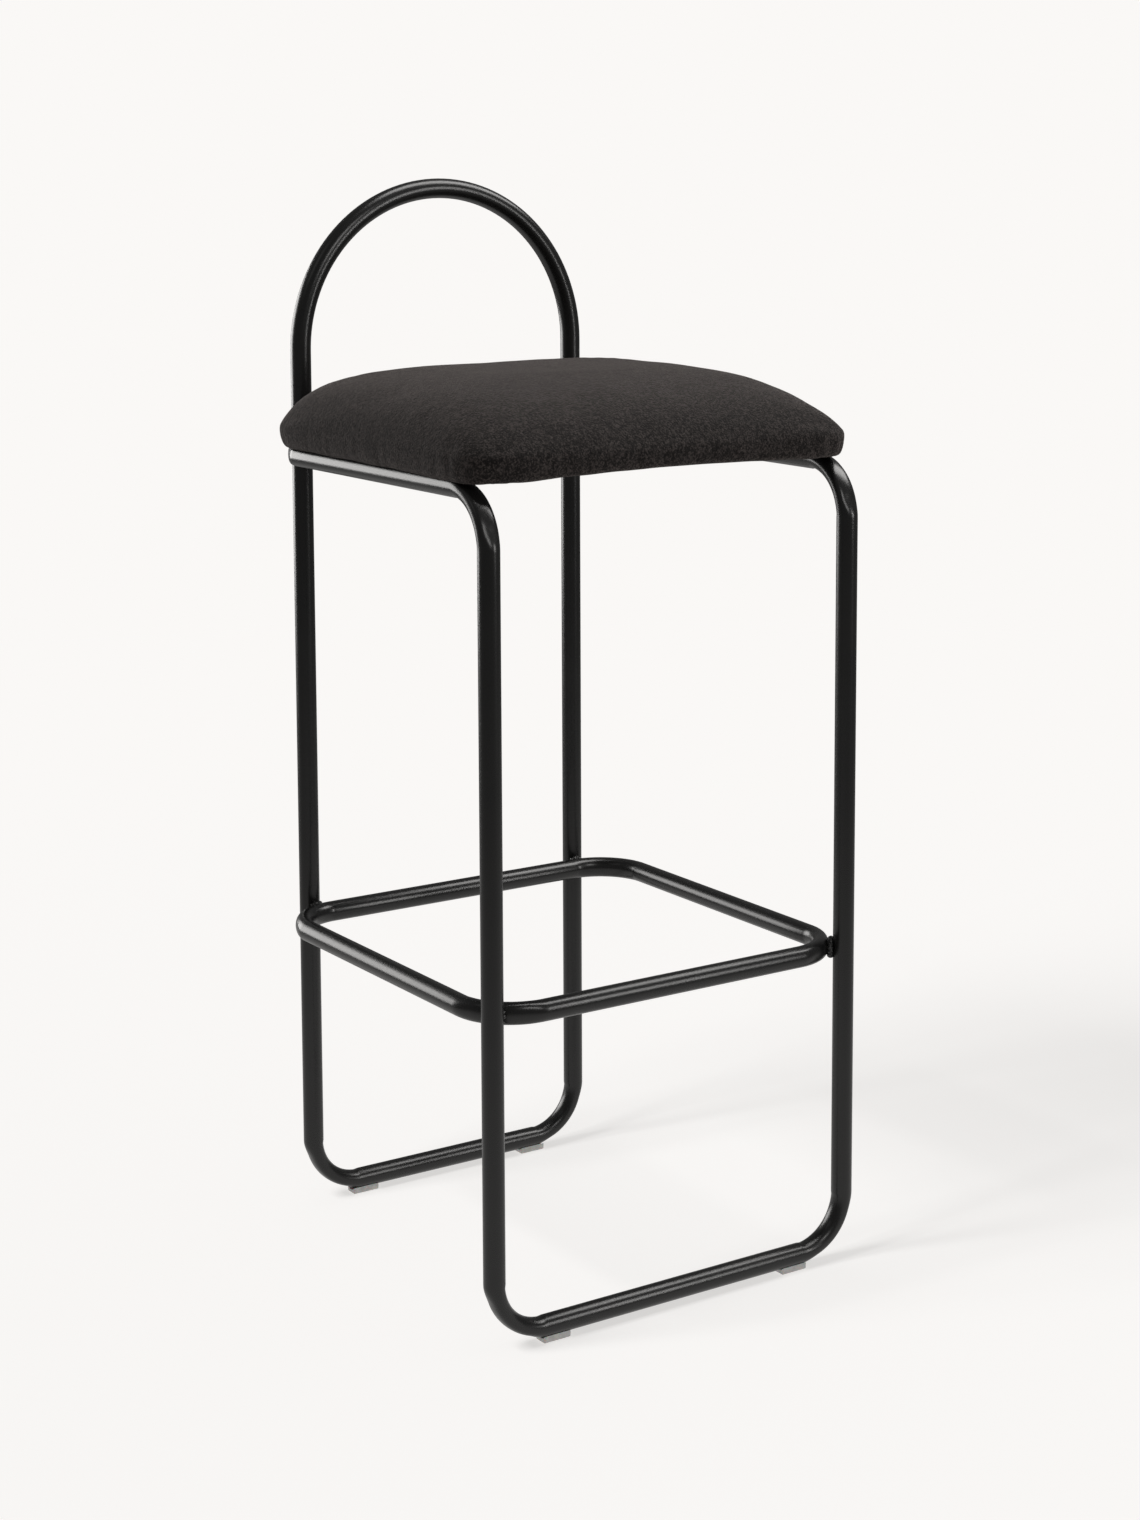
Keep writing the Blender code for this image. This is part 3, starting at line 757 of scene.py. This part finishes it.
def hang_below(place):
    """How far the soft edge hangs below the board here."""
    left = eased(-(place.x - pad_middle.x) / pad_half_x)
    drop = EDGE_DROP + LEFT_DROP * left
    for corner_x, more in ((cover_low.x, CORNER_DROP), (cover_high.x, RIGHT_DROP)):
        corner = Vector((place.x - corner_x, place.y - cover_low.y))
        drop += more * math.exp(-(corner.length / CORNER_REACH)**2)
    return drop


def finish_edge(cushion):
    """Presses in the grooves, lets the lower edge hang, and makes the whole a little uneven."""
    mesh = cushion.data
    normals = [vertex.normal.copy() for vertex in mesh.vertices]
    for vertex, normal in zip(mesh.vertices, normals):
        place = vertex.co.copy()
        share = plan_share(place)
        if place.z < pad_under + PULL_HEIGHT and share > RIM_ZONE:
            sideways = Vector((normal.x, normal.y, 0))
            vertex.co -= sideways * groove(place)
            sag = eased((pad_widest - place.z) / (pad_widest - pad_under))
            edge = eased((share - HANG_START) / (HANG_FULL - HANG_START))
            wave = 1.0 + HANG_WAVE * noise.noise(Vector((around_pad(place) * 28, 0.0, 3.0)))
            vertex.co.z -= hang_below(place) * wave * sag * edge
        drift = sum(noise.noise(place * fine) * deep for fine, deep in DRIFTS)
        vertex.co += normal * drift * eased((place.z - pad_under) / DRIFT_RISE)
    mesh.update()


def rest_on(cushion, support):
    """Lifts the cushion's vertices out of the piece that it rests on."""
    tree = BVHTree.FromObject(support, bpy.context.evaluated_depsgraph_get())
    lifted = 0
    for vertex in cushion.data.vertices:
        found, normal, _, _ = tree.find_nearest(vertex.co, 3 * EDGE_TUCK)
        if found is not None and (vertex.co - found).dot(normal) < REST_GAP:
            vertex.co += normal * (REST_GAP - (vertex.co - found).dot(normal))
            lifted += 1
    cushion.data.update()
    print("rested", lifted, "vertices on", support.name)


finish_edge(cushion)
rest_on(cushion, front_tube)

# %% [markdown]
# ## Room for the board
#
# The cushion is closed all round, but the board lies in it.  The board's space, and the opening
# that the turned-under cloth leaves, are cut out of it as two slabs.

# %% Cut the board's space
CLOTH = 0.0012                 # thickness of the cloth
TURN_UNDER = 0.030             # how wide the cloth is turned under the board
BOARD_CORNER = 0.0355          # corner radius of the board
TURNED_CORNER = 0.012          # and of the opening inside the turned-under cloth
CLEAR = 0.0003                 # between pieces that touch
board_low, board_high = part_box("seat_board")


def slab_around(low, high, grow, bottom, top, corner):
    """A slab between two heights, this much wider all round than a box."""
    return rounded_slab((low.x - grow, low.y - grow, bottom),
                        (high.x + grow, high.y + grow, top), corner)


cut(cushion, [
    slab_around(board_low, board_high, CLEAR, pad_under + CLOTH, board_high.z + CLEAR,
                BOARD_CORNER),
    slab_around(cover_low, cover_high, -TURN_UNDER, pad_under - 0.01, pad_under + 2 * CLOTH,
                TURNED_CORNER),
])
cushion.data.shade_smooth()
crease(cushion, 60)
print("the cushion has", len(cushion.data.polygons), "faces with its board's space")

# %% [markdown]
# ## Wool cloth
#
# The cover is a dark wool crepe: matt, slightly fuzzy, with tiny crinkled loops a millimetre or two
# apart and a few fibres lighter than the rest.  One pattern on the cushion's own coordinates gives
# both the colour and the relief, so the light loops are the high ones, and sheen gives the fuzz.

# %% Wool
WOOL_DARK, WOOL_LIGHT, WOOL_FLECK = (
    (0.009, 0.0074, 0.0068), (0.066, 0.055, 0.0515), (0.16, 0.137, 0.128))


def wool_cloth():
    material, shader, place = new_material("dark_wool")
    wander = place.noise(60.0, detail=2.0)
    crepe = place.noise(330.0, detail=3.0, roughness=0.75, distortion=0.8)
    loops = place.cells(620.0)
    fibre = place.noise(1200.0, detail=2.0)
    relief = crepe * 0.65 + (1 - loops) * 0.45
    speck = (fibre * 0.5 + crepe * 0.5).between(0.54, 0.68)
    shade = (crepe * 0.9 + wander * 0.12 - loops * 0.25).between(0.30, 0.54)
    body = shade.mix(WOOL_DARK, WOOL_LIGHT)
    colour = speck.node("Mix", {"data_type": "RGBA"},
                        {"Factor": speck * 0.38, "A": body, "B": (*WOOL_FLECK, 1.0)}, output=2)
    finish_with(
        shader,
        Base_Color=colour,
        Roughness=0.95,
        Normal=relief.bump(0.0011, strength=0.9),
        Specular_IOR_Level=0.2,
        Sheen_Weight=0.32,
        Sheen_Roughness=0.45,
        Sheen_Tint=(0.64, 0.56, 0.53, 1.0),
    )
    return material


dress(cushion, wool_cloth())
print("dressed the cushion in", cushion.data.materials[0].name)

# %% [markdown]
# ## Weld beads
#
# The footrest and the seat frame touch each leg at one point only, so the welder runs a short round
# bead in the hollow about that point.  A weld is a row of small pools that froze one over the
# other, which is what gives it its ripples.  So each bead is built that way: a ring of flattened
# balls is remeshed into one skin and smoothed a little.  A torus would be quicker, but it would
# look like a rubber ring.

# %% Lay the weld beads
BEAD_POOLS = 15                # in one round bead
BEAD_REACH = (0.0056, 0.0066)  # across the leg, and up and down it
BEAD_RADIUS = 0.0032
BEAD_FLAT = 0.55               # how thick a pool is, as a share of its width
BEAD_VOXEL = 0.0005


def lay_bead(name, leg, bar, luck, sunk=0.0):
    """A round bead half way between a leg and a bar, whose bend has sunk away from the leg."""
    leg, bar = Vector(leg), Vector(bar)
    inward = (bar - leg).normalized()
    middle = (leg + bar + inward * sunk) / 2
    across = inward.cross(Z)
    work = bmesh.new()
    for pool in range(BEAD_POOLS):
        turn = 2 * math.pi * (pool + luck.uniform(-0.15, 0.15)) / BEAD_POOLS
        radius = BEAD_RADIUS * luck.uniform(0.9, 1.08)
        place = across * BEAD_REACH[0] * math.cos(turn) + Z * BEAD_REACH[1] * math.sin(turn)
        ball = bmesh.ops.create_uvsphere(work, u_segments=16, v_segments=10, radius=radius)["verts"]
        bmesh.ops.scale(work, verts=ball, vec=(1.0, 1.0, BEAD_FLAT))
        along = across * -math.sin(turn) + Z * math.cos(turn)
        bmesh.ops.rotate(work, verts=ball, matrix=Z.rotation_difference(along).to_matrix())
        bmesh.ops.translate(work, verts=ball, vec=middle + place)
    bead = make_piece(name.replace("weld", "bead"), work, (name,))
    skin = bead.modifiers.new("one skin", "REMESH")
    skin.mode = "VOXEL"
    skin.voxel_size = BEAD_VOXEL
    soft = bead.modifiers.new("soft", "SMOOTH")
    soft.factor = 0.5
    soft.iterations = 2
    apply_modifiers(bead)
    bead.data.shade_smooth()
    dress(bead, weld_coat)
    return bead


def rear_contact(sign, bend, height):
    """Where a rear bar, bent round at both ends, is nearest to the rear leg."""
    straight = leg_x - bend
    if hoop_x <= straight:
        return Vector((sign * hoop_x, bar_y, height))
    centre = Vector((straight, bar_y - bend))
    nearest = centre + (Vector((hoop_x, hoop_y)) - centre).normalized() * bend
    return Vector((sign * nearest.x, nearest.y, height))


luck = random.Random(5)
corner = ring_bend * (1 - 1 / math.sqrt(2))
for side, sign in (("left", -1), ("right", 1)):
    lay_bead(f"weld_footrest_front_{side}", (sign * leg_x, leg_y, ring_z),
             (sign * (leg_x - corner), leg_y + corner, ring_z), luck,
             sunk=RING_PRESSED * OUTER_SINK * tube)
    lay_bead(f"weld_footrest_rear_{side}", (sign * hoop_x, hoop_y, ring_z),
             rear_contact(sign, ring_bend, ring_z), luck)
    lay_bead(f"weld_seat_rear_{side}", (sign * hoop_x, hoop_y, rail_z),
             rear_contact(sign, TUBE_BEND, rail_z), luck)

# %% [markdown]
# ## Floor glides
#
# Four frosted plastic saddles keep the tube off the floor.  Each is moulded with a hollow on top
# that fits the tube and a pin that is pushed into a hole in its wall.  The block starts as a cube,
# its edges are rounded, and the hollow is cut with a cylinder as wide as the tube.  The holes for
# the pins are drilled in the tubes, and so is the footrest's vent hole, which lets hot air out in
# the paint oven.

# %% Mould the glides
GLIDE_CORNER = 0.0016          # rounding of a glide's upright edges
GLIDE_ROUND = 0.0011           # and of its lower ones
GLIDE_WRAP = 0.30              # share of the radius, below the tube's middle, that stays free
PIN = 0.0050                   # diameter
PIN_RISE = 0.0090              # top of the pin above the floor
PIN_ROOT = 0.0018              # where it starts, inside the block
PIN_ROUND = 0.0006
FIT = 0.0003                   # room between parts that are pushed together
VENT = 0.0040                  # diameter
VENT_DEPTH = 0.0040            # past the tube's wall


def frosted_plastic():
    material, shader, place = new_material("frosted_plastic")
    cloud = place.noise(160.0, detail=3.0)
    skin = place.noise(1800.0, detail=2.0)
    finish_with(
        shader,
        Base_Color=cloud.between(0.3, 0.7).mix((0.52, 0.515, 0.50), (0.64, 0.635, 0.62)),
        Roughness=skin * 0.14 + 0.30,
        Normal=skin.bump(0.00005),
        IOR=1.49,
        Subsurface_Weight=0.25,
        Subsurface_Scale=0.004,
    )
    return material


def level_edges(work, height, wide=0.00001):
    """The edges of a bmesh that lie flat at this height."""
    return [edge for edge in work.edges
            if all(abs(end.co.z - height) < wide for end in edge.verts)]


def mould_glide(name, y, material):
    """One glide under the tube at this y; gives back its place along the tube."""
    low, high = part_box(name)
    middle = (low + high) / 2
    top = floor_bar_z - tube * GLIDE_WRAP
    work = rounded_slab((low.x, y - (high.y - low.y) / 2, 0.0),
                        (high.x, y + (high.y - low.y) / 2, top), GLIDE_CORNER, segments=4)
    soften(work, level_edges(work, 0.0), GLIDE_ROUND, segments=4)
    glide = make_piece(name.replace("glide", "saddle_glide"), work, (name,))
    saddle = cylinder(2 * (tube + FIT), (0, 0, -0.03), (0, 0, 0.03), sides=64)
    bmesh.ops.rotate(saddle, verts=saddle.verts, matrix=Matrix.Rotation(math.pi / 2, 3, "Y"))
    bmesh.ops.translate(saddle, verts=saddle.verts, vec=(middle.x, y, floor_bar_z))
    cut(glide, [saddle])
    pin = cylinder(PIN, (middle.x, y, PIN_ROOT), (middle.x, y, PIN_RISE), sides=24)
    soften(pin, level_edges(pin, PIN_RISE), PIN_ROUND, segments=2)
    join(glide, pin)
    glide.data.shade_smooth()
    crease(glide, 38)
    dress(glide, material)
    return middle.x


frosted = frosted_plastic()
for row, y, bent in (("front", leg_y, front_tube), ("rear", hoop_y, rear_tube)):
    for side in ("left", "right"):
        x = mould_glide(f"glide_{row}_{side}", y, frosted)
        cut(bent, [cylinder(PIN + 2 * FIT, (x, y, 0.0), (x, y, PIN_RISE + FIT))])
cut(ring_tube, [cylinder(VENT, (0, bar_y, ring_low.z - DRILL_PAST),
                         (0, bar_y, ring_low.z + VENT_DEPTH))])
for bent in (front_tube, rear_tube, ring_tube):
    crease(bent, 40)

# %% [markdown]
# ## Seat tabs, screws and washers
#
# Under the pad, four steel tabs welded to the rails carry a screw and a washer each.  The tabs are
# sheet steel with rounded corners, and the punch leaves a soft edge that the paint softens further.
# The screws are button heads with a hexagon socket.  Everything round here is turned, as on a
# lathe: half of its outline is spun about its axis.

# %% Punch the tabs
TAB_HOLE = 0.0066              # diameter
TAB_CORNER = 0.006
TAB_ROUND = 0.00045            # the soft edge that the punch leaves
PLACES = [f"{row}_{side}" for row in ("front", "rear") for side in ("left", "right")]


def middle_of(name):
    """The middle of a node's box."""
    low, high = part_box(name)
    return (low + high) / 2


for place_name in PLACES:
    name = f"seat_tab_{place_name}"
    low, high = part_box(name)
    screw_at = middle_of(f"seat_screw_{place_name}")
    work = rounded_slab(low, high, TAB_CORNER)
    soften(work, level_edges(work, low.z) + level_edges(work, high.z), TAB_ROUND, segments=3)
    tab = make_piece(name.replace("tab", "bracket"), work, (name,), sharp=50)
    cut(tab, [drill(TAB_HOLE, screw_at, low.z, high.z)])
    crease(tab, 50)
    dress(tab, tab_coat)

# %% Turn the screws and washers
TURNED_STEPS = 48
SHANK = 0.0057                 # diameter of the screw below its head
HEAD_HEIGHT = 0.0034
HEAD_FACE, HEAD_DOME, HEAD_RISE = 0.52, 0.48, 0.86   # shares of the head's radius and height
TIP_ROUND = 0.0006
RIM_ROUND = 0.0002             # the broken edge of a head or a washer
SOCKET_ACROSS = 0.0040
SOCKET_DEPTH = 0.0020


def turned(outline, at, closed=False):
    """Spins an outline of (radius, height) pairs about the upright line through this place."""
    work = bmesh.new()
    corners = [work.verts.new((at.x + radius, at.y, height)) for radius, height in outline]
    ends = corners[1:] + corners[:1] if closed else corners[1:]
    edges = [work.edges.new(pair) for pair in zip(corners, ends)]
    bmesh.ops.spin(work, geom=corners + edges, cent=at, axis=Z, angle=2 * math.pi,
                   steps=TURNED_STEPS, use_merge=True, use_duplicate=False)
    bmesh.ops.remove_doubles(work, verts=work.verts, dist=0.000005)
    bmesh.ops.recalc_face_normals(work, faces=work.faces)
    return work


def zinc_plate(name):
    material, shader, place = new_material(name)
    cloud = place.noise(260.0, detail=3.0)
    scratch = place.noise(2600.0, detail=2.0, distortion=1.5)
    finish_with(
        shader,
        Base_Color=cloud.between(0.3, 0.7).mix((0.50, 0.50, 0.49), (0.64, 0.64, 0.62)),
        Roughness=cloud * 0.16 + scratch * 0.08 + 0.22,
        Metallic=1.0,
        Normal=scratch.bump(0.00003),
    )
    return material


def rounded_head(radius, low, high, steps=9):
    """The outline of a button head, from its lowest ring out and up to its bearing face."""
    points = []
    for step in range(steps + 1):
        turn = math.pi / 2 * step / steps
        points.append((radius * (HEAD_FACE + HEAD_DOME * math.sin(turn)),
                       low + (high - low) * (1 - math.cos(turn)) * HEAD_RISE))
    return points + [(radius, high - RIM_ROUND), (radius - RIM_ROUND, high)]


zinc = zinc_plate("zinc_plate")
for place_name in PLACES:
    name = f"seat_screw_{place_name}"
    low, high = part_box(name)
    at = (low + high) / 2
    head = (high.x - low.x) / 2
    shank = SHANK / 2
    bearing = low.z + HEAD_HEIGHT
    outline = [(0.0, low.z)] + rounded_head(head, low.z, bearing) + [
        (shank, bearing), (shank, high.z - TIP_ROUND), (shank * 0.8, high.z), (0.0, high.z)]
    screw = make_piece(name.replace("seat_screw", "button_screw"), turned(outline, at),
                       (name,))
    socket = cylinder(SOCKET_ACROSS * 2 / math.sqrt(3), (at.x, at.y, low.z - 0.001),
                      (at.x, at.y, low.z + SOCKET_DEPTH), sides=6)
    cut(screw, [socket])
    crease(screw, 32)
    dress(screw, zinc)

    name = f"washer_{place_name}"
    low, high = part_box(name)
    outer, inner, soft = (high.x - low.x) / 2, shank + FIT, RIM_ROUND
    outline = [
        (inner, low.z + soft), (inner + soft, low.z), (outer - soft, low.z), (outer, low.z + soft),
        (outer, high.z - soft), (outer - soft, high.z), (inner + soft, high.z),
        (inner, high.z - soft)]
    washer = make_piece(name.replace("washer", "flat_washer"), turned(outline, at, closed=True),
                        (name,), sharp=32)
    dress(washer, zinc)
for place_name in PLACES:
    dress(nodes[f"tee_nut_{place_name}"], zinc)

# %% [markdown]
# ## The lining under the pad
#
# A thin black non-woven cloth hides the turned-under edge of the cover.  It is cut to size with
# heat, laid flat under the board, and stapled round its edge.  It is one stretched sheet, with
# holes for the washers.  The staples are one small rounded block, copied and laid down a little
# out of line each time, as a hand-held staple gun leaves them.

# %% Cut and staple the lining
LINING_CORNER = 0.026
WASHER_ROOM = 0.014            # diameter of the holes for the washers
STAPLE_FROM_EDGE = 0.008
STAPLE_STEP = 0.036
STAPLE_SIZE = (0.0095, 0.0013, 0.0006)
STAPLE_ROUND = 0.00022
STAPLE_SUNK = 0.0001           # into the lining
STAPLE_TURN = 9                # degrees that one can be askew
STAPLE_SLIP = 0.0015           # and how far it can be out of line
TAB_ROOM = 0.020               # no staples this near the middle of a tab


def lining_cloth():
    material, shader, place = new_material("black_lining")
    web = place.noise(420.0, detail=5.0, roughness=0.75, distortion=1.2)
    dots = 1 - place.cells(620.0, randomness=0.12)
    height = web * 0.6 + dots.between(0.25, 0.7) * 0.4
    finish_with(
        shader,
        Base_Color=web.between(0.3, 0.7).mix((0.012, 0.012, 0.0125), (0.034, 0.034, 0.035)),
        Roughness=web * 0.2 + 0.66,
        Normal=height.bump(0.00025),
        Sheen_Weight=0.15,
        Sheen_Roughness=0.5,
    )
    return material


lining_low, lining_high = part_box("underside_lining")
work = rounded_slab(lining_low, lining_high, LINING_CORNER, segments=12)
lining = make_piece("stapled_lining", work, ("underside_lining",))
cut(lining, [drill(WASHER_ROOM, middle_of(f"seat_screw_{place_name}"), lining_low.z, lining_high.z)
             for place_name in PLACES])
crease(lining, 40)
dress(lining, lining_cloth())


def staple_spots():
    """Where the staples go, and how they are turned: (x, y, degrees)."""
    side_x = lining_high.x - STAPLE_FROM_EDGE
    low_y, high_y = lining_low.y + STAPLE_FROM_EDGE, lining_high.y - STAPLE_FROM_EDGE
    tab_ys = [middle_of(f"seat_tab_{place_name}").y for place_name in PLACES]
    spots = []
    count = round((high_y - low_y - 2 * LINING_CORNER) / STAPLE_STEP)
    for step in range(count + 1):
        y = low_y + LINING_CORNER + (high_y - low_y - 2 * LINING_CORNER) * step / count
        if min(abs(y - tab_y) for tab_y in tab_ys) > TAB_ROOM:
            spots += [(-side_x, y, 90), (side_x, y, 90)]
    count = round(2 * (side_x - LINING_CORNER) / STAPLE_STEP)
    for step in range(count + 1):
        x = (side_x - LINING_CORNER) * (2 * step / count - 1)
        spots += [(x, low_y, 0), (x, high_y, 0)]
    return spots


def drive_staples(spots, luck):
    """All staples in one bmesh."""
    one = bmesh.new()
    bmesh.ops.create_cube(one, size=1.0)
    bmesh.ops.scale(one, verts=one.verts, vec=STAPLE_SIZE)
    soften(one, list(one.edges), STAPLE_ROUND, segments=2)
    wire = mesh_of("one staple", one)
    work = bmesh.new()
    for x, y, turn in spots:
        before = len(work.verts)
        work.from_mesh(wire)
        work.verts.ensure_lookup_table()
        added = work.verts[before:]
        turn = math.radians(turn + luck.uniform(-STAPLE_TURN, STAPLE_TURN))
        bmesh.ops.rotate(work, verts=added, matrix=Matrix.Rotation(turn, 3, "Z"))
        bmesh.ops.translate(work, verts=added, vec=(
            x + luck.uniform(-1, 1) * STAPLE_SLIP, y + luck.uniform(-1, 1) * STAPLE_SLIP,
            lining_low.z - STAPLE_SIZE[2] / 2 + STAPLE_SUNK))
    bpy.data.meshes.remove(wire)
    print(len(spots), "staples")
    return work


staples = make_piece("lining_staples", drive_staples(staple_spots(), random.Random(23)),
                     sharp=40)
dress(staples, zinc)

# %% [markdown]
# ## The board
#
# The board is birch plywood.  It hardly shows, so the frame's own solid is kept as it is and only
# gets a material.  Its edge has the layers of its veneers and its faces have long grain: stripes
# across its height make the layers, and a stretched noise makes the grain.

# %% Plywood
VENEERS = 9


def plywood(low, high):
    """Plywood whose veneers lie between the heights of these two corners."""
    material, shader, place = new_material("birch_plywood")
    height = place.node("SeparateXYZ", {}, {0: place}, output=2)
    layer = (height - low.z) * (VENEERS / (high.z - low.z))
    odd = layer.math("PINGPONG", layer, 1.0).between(0.42, 0.58)
    stretched = place.node("Mapping", {}, {"Vector": place, "Scale": (3.0, 60.0, 20.0)})
    grain = stretched.noise(9.0, detail=6.0, roughness=0.65, distortion=0.4)
    pores = place.noise(900.0, detail=2.0)
    tone = grain.between(0.30, 0.72).mix((0.46, 0.29, 0.15), (0.68, 0.49, 0.29))
    colour = odd.node("Mix", {"data_type": "RGBA", "blend_type": "MULTIPLY"},
                      {"Factor": 0.6, "A": tone, "B": odd.mix((0.55, 0.45, 0.36), (1.0, 1.0, 1.0))},
                      output=2)
    finish_with(
        shader,
        Base_Color=colour,
        Roughness=grain * 0.2 + 0.5,
        Normal=(grain * 0.7 + pores * 0.3).bump(0.0002),
    )
    return material


dress(nodes["seat_board"], plywood(board_low, board_high))
print("dressed", len(nodes), "nodes and their pieces")

# %% [markdown]
# ## Floor and light
#
# A pale seamless floor, a large soft light from the left that draws one soft shadow to the right,
# and panels that are only there to be mirrored in the black tube, as a studio sets up reflectors
# round a glossy product.
#
# A floor that is lit by its lamp alone gets darker away from it.  So the floor is painted grey and
# also glows, by what is missing between its lamp's light and the backdrop's pale tone.  Where the
# stool keeps the lamp's light away, the glow is all that is left, and that is the shadow.

# %% Lay the floor
SCENE = bpy.context.scene
SCENE.view_settings.view_transform = "Standard"
PALE = (0.956, 0.939, 0.922)
FLOOR_FADE = (1.2, 3.2)        # metres from the stool where the floor turns into backdrop
FLOOR_PAINT = 0.6              # share of its lamp's light that the floor gives back
FLOOR_LAMP = {"place": Vector((-2.4, 0.0, 2.9)), "aim": Vector((0, 0, 0.3)), "power": 72.0}
FLOOR_RETURN = (0.68, 0.16)    # what the stool gets back from the floor, near it and far away
RETURN_FADE = (0.3, 2.6)       # metres over which the one becomes the other
FLOOR_RADIUS = 12.0
ROOM = 0.15                    # what the stool gets from the dim room round it


def emission(start, colour, strength):
    """A plain glow of this colour."""
    return start.node("Emission", {}, {"Color": (*colour, 1.0), "Strength": strength})


def lamp_on_floor(place):
    """How bright the floor lamp alone makes the painted floor here."""
    lamp, ahead = FLOOR_LAMP["place"], (FLOOR_LAMP["aim"] - FLOOR_LAMP["place"]).normalized()
    ray = place.node("VectorMath", {"operation": "SUBTRACT"}, {0: place, 1: lamp})
    reach = ray.node("VectorMath", {"operation": "LENGTH"}, {0: ray}, output=1)
    facing = ray.node("VectorMath", {"operation": "DOT_PRODUCT"}, {0: ray, 1: ahead}, output=1)
    light = facing.math("DIVIDE", facing, reach.math("POWER", reach, 4.0))
    return light * (FLOOR_PAINT * FLOOR_LAMP["power"] * lamp.z / math.pi**2)


def floor_material():
    """The floor as the camera sees it, and as the light that the stool gets back from it."""
    material = bpy.data.materials.new("studio_floor")
    material.use_nodes = True
    tree = material.node_tree
    tree.nodes.clear()
    start = Signal(tree)
    place = start.node("TexCoord", output=3)
    away = place.node("VectorMath", {"operation": "LENGTH"}, {0: place}, output=1)
    lit = start.node("BsdfDiffuse", {}, {"Color": (FLOOR_PAINT, FLOOR_PAINT, FLOOR_PAINT, 1.0)})
    glow = emission(start, [tone / PALE[0] for tone in PALE],
                    PALE[0] - FLOOR_PAINT * ROOM - lamp_on_floor(place))
    both = start.node("AddShader", {}, {0: lit, 1: glow})
    far = emission(start, PALE, 1.0)
    seen = start.node("MixShader", {}, {0: away.between(*FLOOR_FADE), 1: both, 2: far})
    near_return, far_return = FLOOR_RETURN
    nearness = 1 - away.between(*RETURN_FADE)
    given = emission(start, PALE, nearness * (near_return - far_return) + far_return)
    looked_at = start.node("LightPath", output="Is Camera Ray")
    mixed = start.node("MixShader", {}, {0: looked_at, 1: given, 2: seen})
    out = tree.nodes.new("ShaderNodeOutputMaterial")
    tree.links.new(mixed.socket, out.inputs["Surface"])
    return material


def make_floor():
    work = bmesh.new()
    bmesh.ops.create_circle(work, cap_ends=True, segments=96, radius=FLOOR_RADIUS)
    floor = bpy.data.objects.new("studio_floor", mesh_of("studio_floor", work))
    SCENE.collection.objects.link(floor)
    dress(floor, floor_material())
    return floor


def make_world():
    """Pale behind the stool, and a dim room to everything else."""
    world = bpy.data.worlds.new("studio")
    SCENE.world = world
    world.use_nodes = True
    tree = world.node_tree
    tree.nodes.clear()
    start = Signal(tree)
    seen = start.node("LightPath", output="Is Camera Ray")
    dim = start.node("Background", {}, {"Color": (1.0, 0.99, 0.98, 1.0), "Strength": ROOM})
    pale = start.node("Background", {}, {"Color": (*PALE, 1.0), "Strength": 1.0})
    both = start.node("MixShader", {}, {0: seen, 1: dim, 2: pale})
    out = tree.nodes.new("ShaderNodeOutputWorld")
    tree.links.new(both.socket, out.inputs["Surface"])


floor = make_floor()
make_world()
print("laid the floor, with a radius of", FLOOR_RADIUS)

# %% [markdown]
# ## The lamps
#
# Each lamp is a soft panel that does one job.  One lights only the floor and casts the shadow.  The
# others leave the floor alone: some only shade the stool, and some are only mirrored in its tube,
# so that a highlight can be moved without changing the cloth's tone.

# %% Hang the lamps
LAMP_COLOUR = (1.0, 0.985, 0.97)
SEAT = (0, 0, 0.6)


def make_light(name, place, aim, size, power, gloss=True, diffuse=True, floor_only=False):
    """A soft panel that is turned towards its aim, in watts."""
    data = bpy.data.lights.new(name, "AREA")
    data.shape = "RECTANGLE"
    data.size, data.size_y = size
    data.energy = power
    data.color = LAMP_COLOUR
    light = bpy.data.objects.new(name, data)
    light.location = place
    light.rotation_euler = (Vector(aim) - Vector(place)).to_track_quat("-Z", "Y").to_euler()
    light.visible_camera = False
    light.visible_diffuse = diffuse
    light.visible_glossy = gloss
    SCENE.collection.objects.link(light)
    chosen = bpy.data.collections.new(name + "_lights")
    chosen.objects.link(floor)
    light.light_linking.receiver_collection = chosen
    chosen.collection_objects[0].light_linking.link_state = "INCLUDE" if floor_only else "EXCLUDE"
    return light


make_light("floor_lamp", FLOOR_LAMP["place"], FLOOR_LAMP["aim"], (1.3, 1.3), FLOOR_LAMP["power"],
           floor_only=True)
make_light("key_left", (-2.4, 0.0, 2.9), SEAT, (1.3, 1.3), 2)
make_light("overhead", (1.35, -0.2, 3.3), SEAT, (1.2, 2.8), 25, gloss=False)
make_light("overhead_shine", (1.2, -0.2, 2.9), SEAT, (1.2, 2.8), 74, diffuse=False)
make_light("behind", (0.7, 2.6, 2.2), SEAT, (1.5, 1.0), 25, gloss=False)
make_light("right_side", (2.6, -0.6, 1.4), SEAT, (1.2, 1.2), 7, gloss=False)
make_light("front_small", (-0.1, -2.4, 2.0), SEAT, (0.7, 0.7), 9)
make_light("front_right_strip", (1.3, -2.2, 1.1), (0, 0, 0.5), (0.3, 1.0), 12, diffuse=False)
make_light("rear_panel", (-1.2, 2.6, 0.9), SEAT, (2.0, 1.5), 52, diffuse=False)
print("hung", len(bpy.data.lights), "lamps")
